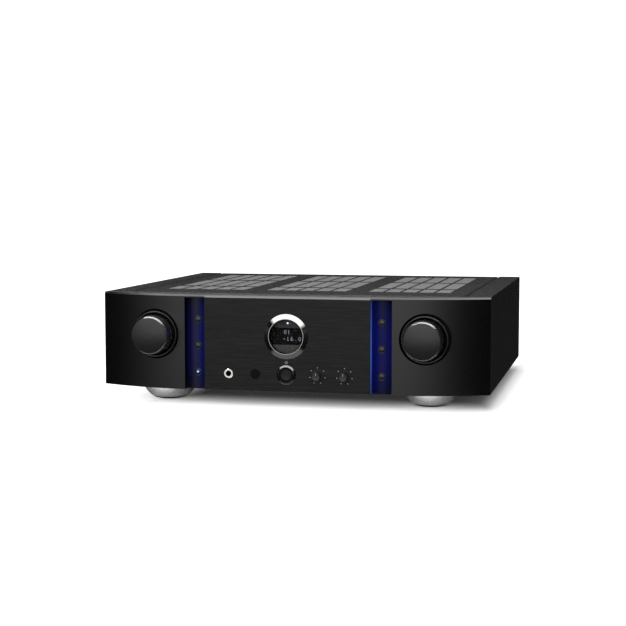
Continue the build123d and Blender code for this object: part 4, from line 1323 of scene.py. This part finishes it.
# --- lid
@dataclass
class VentPads:
    """The lid's grilles: three sheets under it whose raised pads fill the openings."""

    wardrobe: Wardrobe
    columns: int = 5
    pitch: float = 19.4 * MM
    opening: float = 16.4 * MM
    rows: tuple[float, ...] = (1.0, 2.1, 2.1)
    bar: float = 10.0 * MM
    margin: float = 1.5 * MM
    gap: float = 0.1 * MM
    corner: float = 0.8 * MM
    edge: float = 0.15 * MM
    sheet: float = 1.2 * MM

    def build(self) -> None:
        """Builds the sheets and pads of all three groups as one piece."""
        at = Extent.of("vent_grilles")
        half = (self.columns - 1) / 2 * self.pitch + self.opening / 2 + self.margin
        start, end = at.low.y + self.margin, at.high.y - self.margin
        share = (end - start - (len(self.rows) - 1) * self.bar) / sum(self.rows)
        bm = bmesh.new()
        for middle in (at.low.x + half, 0.0, at.high.x - half):
            self.pad(bm, (middle - half, at.low.y, at.low.z),
                     (middle + half, at.high.y, at.low.z + self.sheet))
            near = start
            for row in self.rows:
                for column in range(self.columns):
                    x = middle + (column - (self.columns - 1) / 2) * self.pitch
                    reach = self.opening / 2 - self.gap
                    self.pad(bm, (x - reach, near + self.gap, at.low.z + self.sheet),
                             (x + reach, near + row * share - self.gap, at.high.z))
                near += row * share + self.bar
        pads = from_bmesh("vent_pads", bm)
        dress(pads, self.wardrobe["grille_grey"])
        seat(pads, "chassis", "grille_grey", "vent_grilles")

    def pad(self, bm: Draft, low: tuple[float, float, float],
            high: tuple[float, float, float]) -> None:
        """Adds one plate with rounded corners and a softened upper edge.

        Args:
            bm: the mesh that gains the plate.
            low: its lowest corner.
            high: its highest corner.
        """
        left, right = low[0] + self.corner, high[0] - self.corner
        front, back = low[1] + self.corner, high[1] - self.corner
        rings = []
        for inset, z in ((0.0, low[2]), (0.0, high[2] - self.edge), (self.edge, high[2])):
            ring = []
            reach = self.corner - inset
            for quarter, (x, y) in enumerate(((right, back), (left, back), (left, front),
                                              (right, front))):
                for step in range(4):
                    angle = math.pi / 2 * (quarter + step / 3)
                    ring.append(bm.verts.new((x + reach * math.cos(angle),
                                              y + reach * math.sin(angle), z)))
            rings.append(ring)
        bm.faces.new(rings[0])
        bm.faces.new(rings[-1])
        for lower, upper in zip(rings, rings[1:]):
            for i, vert in enumerate(lower):
                j = (i + 1) % len(lower)
                bm.faces.new([vert, lower[j], upper[j], upper[i]])


# --- feet and fixings
@dataclass
class Feet:
    """Four turned aluminium feet: a bowl that rises from the pad to a thin rim."""

    wardrobe: Wardrobe
    base_radius: float = 17.8 * MM
    top_radius: float = 31.0 * MM
    well: float = 3.6 * MM
    # Height of the dark band at the bottom of each foot.
    rubber: float = 1.1 * MM
    curve: Outline = ((17.8, 1.0), (20.4, 2.6), (22.9, 4.4), (25.1, 6.5), (27.1, 9.0),
                      (28.9, 11.7), (30.3, 14.0), (31.0, 15.1))

    def build(self) -> None:
        """Turns the feet and sets them where the CAD feet stand."""
        at = Extent.of("feet")
        reach = self.top_radius
        bm = bmesh.new()
        low, high = at.low, at.high
        inside = self.base_radius - self.well
        outline = [(0.0, low.z + 1.5 * MM), (inside, low.z + 1.5 * MM), (inside, low.z)]
        outline += [(r * MM, z * MM) for r, z in self.curve]
        outline += [(reach, high.z - 0.3 * MM), (reach - 0.3 * MM, high.z), (0.0, high.z)]
        for x in (low.x + reach, high.x - reach):
            for y in (low.y + reach, high.y - reach):
                add_turned(bm, Vector((x, y, 0.0)), Along.HEIGHT, rounded(outline, 0.25 * MM), 128)
        feet = from_bmesh("feet_turned", bm)
        silver = Finish("foot_silver", (0.72, 0.72, 0.72), 0.26, 0.85, 0.5, 900.0, 0.000001, 0.05,
                        (1.0, 1.0, 0.2))
        dress(feet, silver.build(), self.wardrobe["rubber_black"])
        # The lowest band of each foot is dressed in the dark finish.
        dress_where(feet, 1, lambda centre, normal: centre.z < low.z + self.rubber)
        seat(feet, "chassis", "foot_silver", "feet")


@dataclass
class Fixings:
    """Small socket-head screws of the rear panel and the tray."""

    wardrobe: Wardrobe
    head_radius: float = 2.6 * MM
    head_height: float = 1.1 * MM
    socket: float = 1.3 * MM
    rear_inset: float = 6.0 * MM
    terminal_inset: float = 4.0 * MM
    tray_inset: float = 14.0 * MM

    def build(self) -> None:
        """Builds the rear screws and the tray's screws."""
        self.rear()
        self.tray()

    def outline(self, sheet: float, way: float) -> list[tuple[float, float]]:
        """A low domed head with a six-sided socket, standing on a sheet.

        Args:
            sheet: the sheet's surface along the screw's axis.
            way: 1 where the head points up its axis, or -1.

        Returns:
            The (radius, place) outline, its socket given by negative radii.
        """
        top, edge = self.head_height, self.head_radius
        shape = [(edge, 0.0), (edge, top * 0.35), (edge * 0.8, top * 0.85), (edge * 0.6, top),
                 (-self.socket, top), (-self.socket, 0.25 * top), (0.0, 0.2 * top)]
        return [(radius, sheet + way * height) for radius, height in shape]

    def screws(self, name: str, axis: Along, rows: list[tuple[Vector, float, float]]) -> None:
        """Makes a set of screws as one piece.

        Args:
            name: the piece's name.
            axis: the line that each stands along.
            rows: each screw's place, its sheet's surface, and which way it points.
        """
        bm = bmesh.new()
        for place, sheet, way in rows:
            add_turned(bm, place, axis, self.outline(sheet, way), 48, 6)
        screws = from_bmesh(name, bm)
        dress(screws, self.wardrobe["knob_black"])
        seat(screws, "chassis", "knob_black")

    def rear(self) -> None:
        """Screws along the rear panel's edges and beside its connectors."""
        panel, terminals = Extent.of("rear_panel"), Extent.of("terminal_plate")
        inset, near = self.rear_inset, self.terminal_inset
        left, right = panel.low.x + inset, panel.high.x - inset
        low, high = panel.low.z + inset, panel.high.z - inset - 2 * MM
        places = [(left + (right - left) * i / 4, z) for i in range(5) for z in (low, high)]
        places.append((left, (low + high) / 2))
        rows = [(Vector((x, 0.0, z)), panel.high.y, 1.0) for x, z in places]
        rows += [(Vector((x, 0.0, z)), terminals.high.y, 1.0)
                 for x in (terminals.low.x + near, terminals.high.x - near)
                 for z in (terminals.low.z + near, terminals.high.z - near)]
        self.screws("rear_screws", Along.DEPTH, rows)

    def tray(self) -> None:
        """Screws under the tray, along its front and rear edges."""
        tray, inset = Extent.of("chassis_base"), self.tray_inset
        left, right = tray.low.x + inset, tray.high.x - inset
        self.screws("tray_screws", Along.HEIGHT, [
            (Vector((left + (right - left) * i / 3, y, 0.0)), tray.low.z, -1.0)
            for i in range(4) for y in (tray.low.y + inset, tray.high.y - inset)])


@dataclass
class RearConnectors:
    """Colour collars of the line jacks and the bands that tell the speaker caps apart."""

    wardrobe: Wardrobe
    collar_radius: float = 5.6 * MM
    collar_height: float = 0.8 * MM
    jack_radius: float = 4.15 * MM
    columns: int = 6
    band: Span = (5.2 * MM, 6.6 * MM)
    band_depth: float = 0.5 * MM

    def build(self) -> None:
        """Builds the jack collars and the cap bands."""
        self.jack_collars()
        self.cap_bands()

    def jack_collars(self) -> None:
        """White collars round the upper row of jacks and red ones round the lower row."""
        jacks, block = Extent.of("line_jacks"), Extent.of("jack_block")
        radius = self.jack_radius
        pitch = (jacks.high.x - jacks.low.x - 2 * radius) / (self.columns - 1)
        base, crest = block.high.y, block.high.y + self.collar_height
        inner, outer = radius + 0.05 * MM, self.collar_radius
        outline = rounded([(inner, base), (inner, crest), (outer, crest), (outer, base)], 0.2 * MM)
        rows = ((jacks.high.z - radius, "collar_white", (0.6, 0.6, 0.58)),
                (jacks.low.z + radius, "collar_red", (0.45, 0.015, 0.012)))
        for z, name, color in rows:
            bm = bmesh.new()
            for i in range(self.columns):
                centre = Vector((jacks.low.x + radius + i * pitch, 0.0, z))
                add_turned(bm, centre, Along.DEPTH, outline, 64)
            collars = from_bmesh(f"jack_{name}", bm)
            dress(collars, Finish(name, color, 0.35, 0.0, 0.5, 700.0, 0.000004, 0.05).build())
            seat(collars, "chassis", "matte_black")

    def cap_bands(self) -> None:
        """A red or black band round the mouth of each speaker cap."""
        red = Finish("band_red", (0.5, 0.012, 0.01), 0.25, 0.0, 0.5, 700.0, 0.000002, 0.05).build()
        for channel in ("right", "left"):
            for pole in ("plus", "minus"):
                name = f"cap_{channel}_{pole}"
                cap = Extent.of(f"speaker_{name}")
                inner, outer = self.band
                mouth, start = cap.high.y, cap.high.y - self.band_depth
                band = turn(f"{name}_band", cap.middle, rounded([
                    (inner, start), (inner, mouth), (outer, mouth), (outer, start)], 0.15 * MM), 64)
                dress(band, red if pole == "plus" else self.wardrobe["gloss_black"])
                seat(band, name, "cap_plastic")


# --- studio
@dataclass
class Studio:
    """Pale floor, white surround, one broad front light and one overhead."""

    floor_size: float = 9.0
    floor_color: Color = (0.93, 0.93, 0.93)
    # Painted light under the toes, seen only in reflections.
    base_glow: float = 0.02
    foot_glow: float = 0.95
    surround: float = 0.35
    soft_light: float = 2.3
    pool: float = 2.05
    reflected_floor: float = 0.2
    reflected_sides: float = 0.01
    reflected_back: float = 0.034
    shadow_right: Span = (0.2, 0.255)
    shadow_left: Span = (-0.21, -0.12)
    shadow_back: Span = (0.19, 0.3)
    shadow_ahead: float = 0.055
    shadow_in: float = 0.07
    cover: Span = (0.215, 0.225)
    panel_rise: Span = (-51.0, -45.0)
    panel_fall: Span = (22.0, 28.0)
    pool_rise: Span = (-62.0, -8.0)
    pool_fall: Span = (2.0, 33.0)

    def build(self) -> None:
        """Builds the floor, the world and the lamps."""
        self.floor()
        self.world()
        self.lamps()
        log.info("studio is lit")

    def floor(self) -> None:
        """A wide pale floor that glows white to the eye outside set spans round the amplifier, so
        the lamps' real shadow shows only within them, and glows as painted light under the toes
        where the feet reflect it.
        """
        size = self.floor_size
        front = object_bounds()[0].y
        toe = Extent.of("feet").low.y
        bm = bmesh.new()
        corners = [(-size, -size), (size, -size), (size, size), (-size, size)]
        bm.faces.new([bm.verts.new((x, y, 0.0)) for x, y in corners])
        floor = from_bmesh("floor", bm, smooth=False)
        sheet = MaterialSheet("floor_pale")
        sheet.tint(sheet.noise(sheet.place(), 3.0), shade(self.floor_color, 0.99), self.floor_color)
        sheet.set(Roughness=0.9, Specular_IOR_Level=0.0, Emission_Color=WHITE)
        paths = sheet.node("LightPath")
        at = sheet.axes()
        camera, glossy = paths.outputs["Is Camera Ray"], paths.outputs["Is Glossy Ray"]
        # Painted light: seen by the camera the floor glows white outside the shadow spans, so the
        # lamps' real shadow shows only within them.
        dim = self.base_glow
        outside = sheet.math("MAXIMUM", sheet.ease(at["X"], *self.shadow_right, dim, 1.0),
                             sheet.ease(at["X"], *self.shadow_left, 1.0, dim))
        for run in (sheet.ease(at["Y"], front - self.shadow_ahead, toe + self.shadow_in, 1.0, dim),
                    sheet.ease(at["Y"], *self.shadow_back, dim, 1.0)):
            outside = sheet.math("MAXIMUM", outside, run)
        # Painted light: seen in reflections, a strip of floor under the toes glows, so the feet
        # show a bright reflection.
        under = sheet.ease(at["Y"], toe - 0.014, toe + 0.008, self.foot_glow, 0.0)
        glow = sheet.math("ADD", sheet.times(outside, camera), sheet.times(under, glossy))
        sheet.drive(glow, "Emission Strength")
        covered = sheet.times(sheet.ease(at["Y"], front - 0.005, front + 0.015, 0.0, 1.0),
                              sheet.ease(sheet.math("ABSOLUTE", at["X"]), *self.cover, 1.0, 0.0))
        open_part = sheet.times(sheet.math("SUBTRACT", glossy, covered), glossy)
        backfacing = sheet.node("NewGeometry").outputs["Backfacing"]
        open_part = sheet.math("MAXIMUM", open_part, backfacing)
        mix = sheet.node("MixShader")
        through = sheet.node("BsdfTransparent").outputs[0]
        for into, out in zip(mix.inputs, (open_part, sheet.shader.outputs[0], through)):
            sheet.join(out, into)
        sheet.join(mix.outputs[0], sheet.tree.nodes["Material Output"].inputs["Surface"])
        dress(floor, sheet.material)
        floor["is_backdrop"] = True

    def world(self) -> None:
        """White to the eye; dark sides, a dim floor and a grey back where surfaces reflect it."""
        world = bpy.data.worlds.new("studio")
        bpy.context.scene.world = world
        world.use_nodes = True
        world.cycles.sampling_method = "NONE"
        sheet = NodeSheet(world.node_tree)
        way = sheet.parts(sheet.node("TexCoord").outputs["Generated"])
        x, y, z = (way[axis] for axis in "XYZ")
        aside = sheet.math("ARCTAN2", x, sheet.times(y, -1.0))
        panel = self.between(sheet, aside, self.panel_rise, self.panel_fall, self.soft_light)
        panel = sheet.times(panel, sheet.ease(z, 0.68, 0.76, 1.0, 0.0))
        pool = self.between(sheet, aside, self.pool_rise, self.pool_fall, self.pool)
        pool = sheet.times(pool, sheet.ease(z, -0.28, 0.04, 0.0, 1.0))
        back = self.reflected_back
        wall = sheet.times(sheet.ease(x, -0.4, -0.1, 0.35 * back, back),
                           sheet.ease(x, -0.05, 0.1, 1.0, 0.5))
        around = sheet.ease(y, 0.2, 0.8, self.reflected_sides, wall)
        reflected = sheet.math("ADD", sheet.ease(z, -0.62, -0.5, self.reflected_floor, around),
                               sheet.ease(z, 0.1, 0.24, pool, panel))
        rays = sheet.node("LightPath").outputs
        plain = sheet.ease(rays["Is Glossy Ray"], 0.0, 1.0, self.surround, reflected)
        seen = sheet.math("MAXIMUM", rays["Is Camera Ray"], rays["Is Transmission Ray"])
        background = sheet.tree.nodes["Background"]
        sheet.join(sheet.ease(seen, 0.0, 1.0, plain, 1.0), background.inputs["Strength"])
        background.inputs["Color"].default_value = WHITE

    @staticmethod
    def between(sheet: NodeSheet, angle: Socket, rise: Span, fall: Span, peak: float) -> Socket:
        """A value that is zero outside two angles and at its peak between them.

        Args:
            sheet: the tree that gains its nodes.
            angle: the angle's socket, in radians.
            rise: where the value comes up, in degrees.
            fall: where it goes down again, in degrees.
            peak: the value between.

        Returns:
            The value's socket.
        """
        up, down = (tuple(map(math.radians, span)) for span in (rise, fall))
        return sheet.times(sheet.ease(angle, *up, 0.0, peak), sheet.ease(angle, *down, 1.0, 0.0))

    def lamp(self, name: str, azimuth: float, elevation: float, distance: float,
             size: tuple[float, float], radiance: float) -> Piece:
        """Adds one soft rectangular lamp that faces the amplifier.

        Args:
            name: the lamp's name.
            azimuth: where it stands, in degrees to the right of straight in front.
            elevation: how high it stands, in degrees above level.
            distance: from the amplifier's middle.
            size: its width and height, in metres.
            radiance: how bright its surface looks.

        Returns:
            The lamp.
        """
        target = Vector((0.0, -0.1, 0.08))
        turned, up = math.radians(azimuth), math.radians(elevation)
        level = math.cos(up)
        aim = Vector((math.sin(turned) * level, -math.cos(turned) * level, math.sin(up)))
        data = bpy.data.lights.new(name, "AREA")
        data.shape = "RECTANGLE"
        data.size, data.size_y = size
        data.energy = radiance * math.pi * size[0] * size[1]
        made = bpy.data.objects.new(name, data)
        made.location = target + aim * distance
        made.rotation_mode = "QUATERNION"
        made.rotation_quaternion = (-aim).to_track_quat("-Z", "Y")
        made.visible_camera = False
        bpy.context.scene.collection.objects.link(made)
        return made

    def lamps(self) -> None:
        """The broad front light, the overhead panel that shines in gloss, and a soft fill."""
        front = self.lamp("front_light", -12.0, 25.0, 2.4, (3.6, 2.1), 2.0)
        front.visible_glossy = False
        panel = self.lamp("overhead_panel", 180.0, 67.0, 1.5, (2.4, 2.1), 5.5)
        panel.visible_diffuse = False
        fill = self.lamp("overhead_fill", 180.0, 80.0, 1.8, (1.4, 1.4), 1.7)
        fill.visible_glossy = False


@dataclass
class Viewpoint:
    """The camera, a little to the right of the amplifier and above it."""

    aside: float = 0.376
    ahead: float = 1.5338
    height: float = 0.24
    turned_left: float = 12.71
    tilted_down: float = 4.9
    lens: float = 83.56

    def build(self) -> None:
        """Builds the camera and makes it the scene's own."""
        data = bpy.data.cameras.new("camera")
        data.sensor_width = 36.0
        data.lens = self.lens
        data.clip_end = 60.0
        camera = bpy.data.objects.new("camera", data)
        camera.location = (self.aside, Extent.of("centre_plate").low.y - self.ahead, self.height)
        left, down = math.radians(self.turned_left), math.radians(self.tilted_down)
        level = math.cos(down)
        look = Vector((-math.sin(left) * level, math.cos(left) * level, -math.sin(down)))
        camera.rotation_mode = "QUATERNION"
        camera.rotation_quaternion = look.to_track_quat("-Z", "Y")
        bpy.context.scene.collection.objects.link(camera)
        bpy.context.scene.camera = camera


def main() -> None:
    """Builds the amplifier's looks around its frame."""
    logging.basicConfig(level=logging.INFO, format="%(name)s: %(message)s")
    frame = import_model()
    bpy.context.scene.view_settings.view_transform = "Standard"
    Viewpoint().build()
    wardrobe = Wardrobe(frame["record"], frame["nodes"])
    wardrobe.build()
    FrontPanel(wardrobe).dress()
    LitStrips(wardrobe).build()
    for name in ("selector", "volume"):
        LargeKnob(wardrobe, name).build()
    Porthole(wardrobe).build()
    SmallControls(wardrobe).build()
    VentPads(wardrobe).build()
    Feet(wardrobe).build()
    RearConnectors(wardrobe).build()
    Fixings(wardrobe).build()
    Studio().build()


if __name__ == "__main__":
    main()
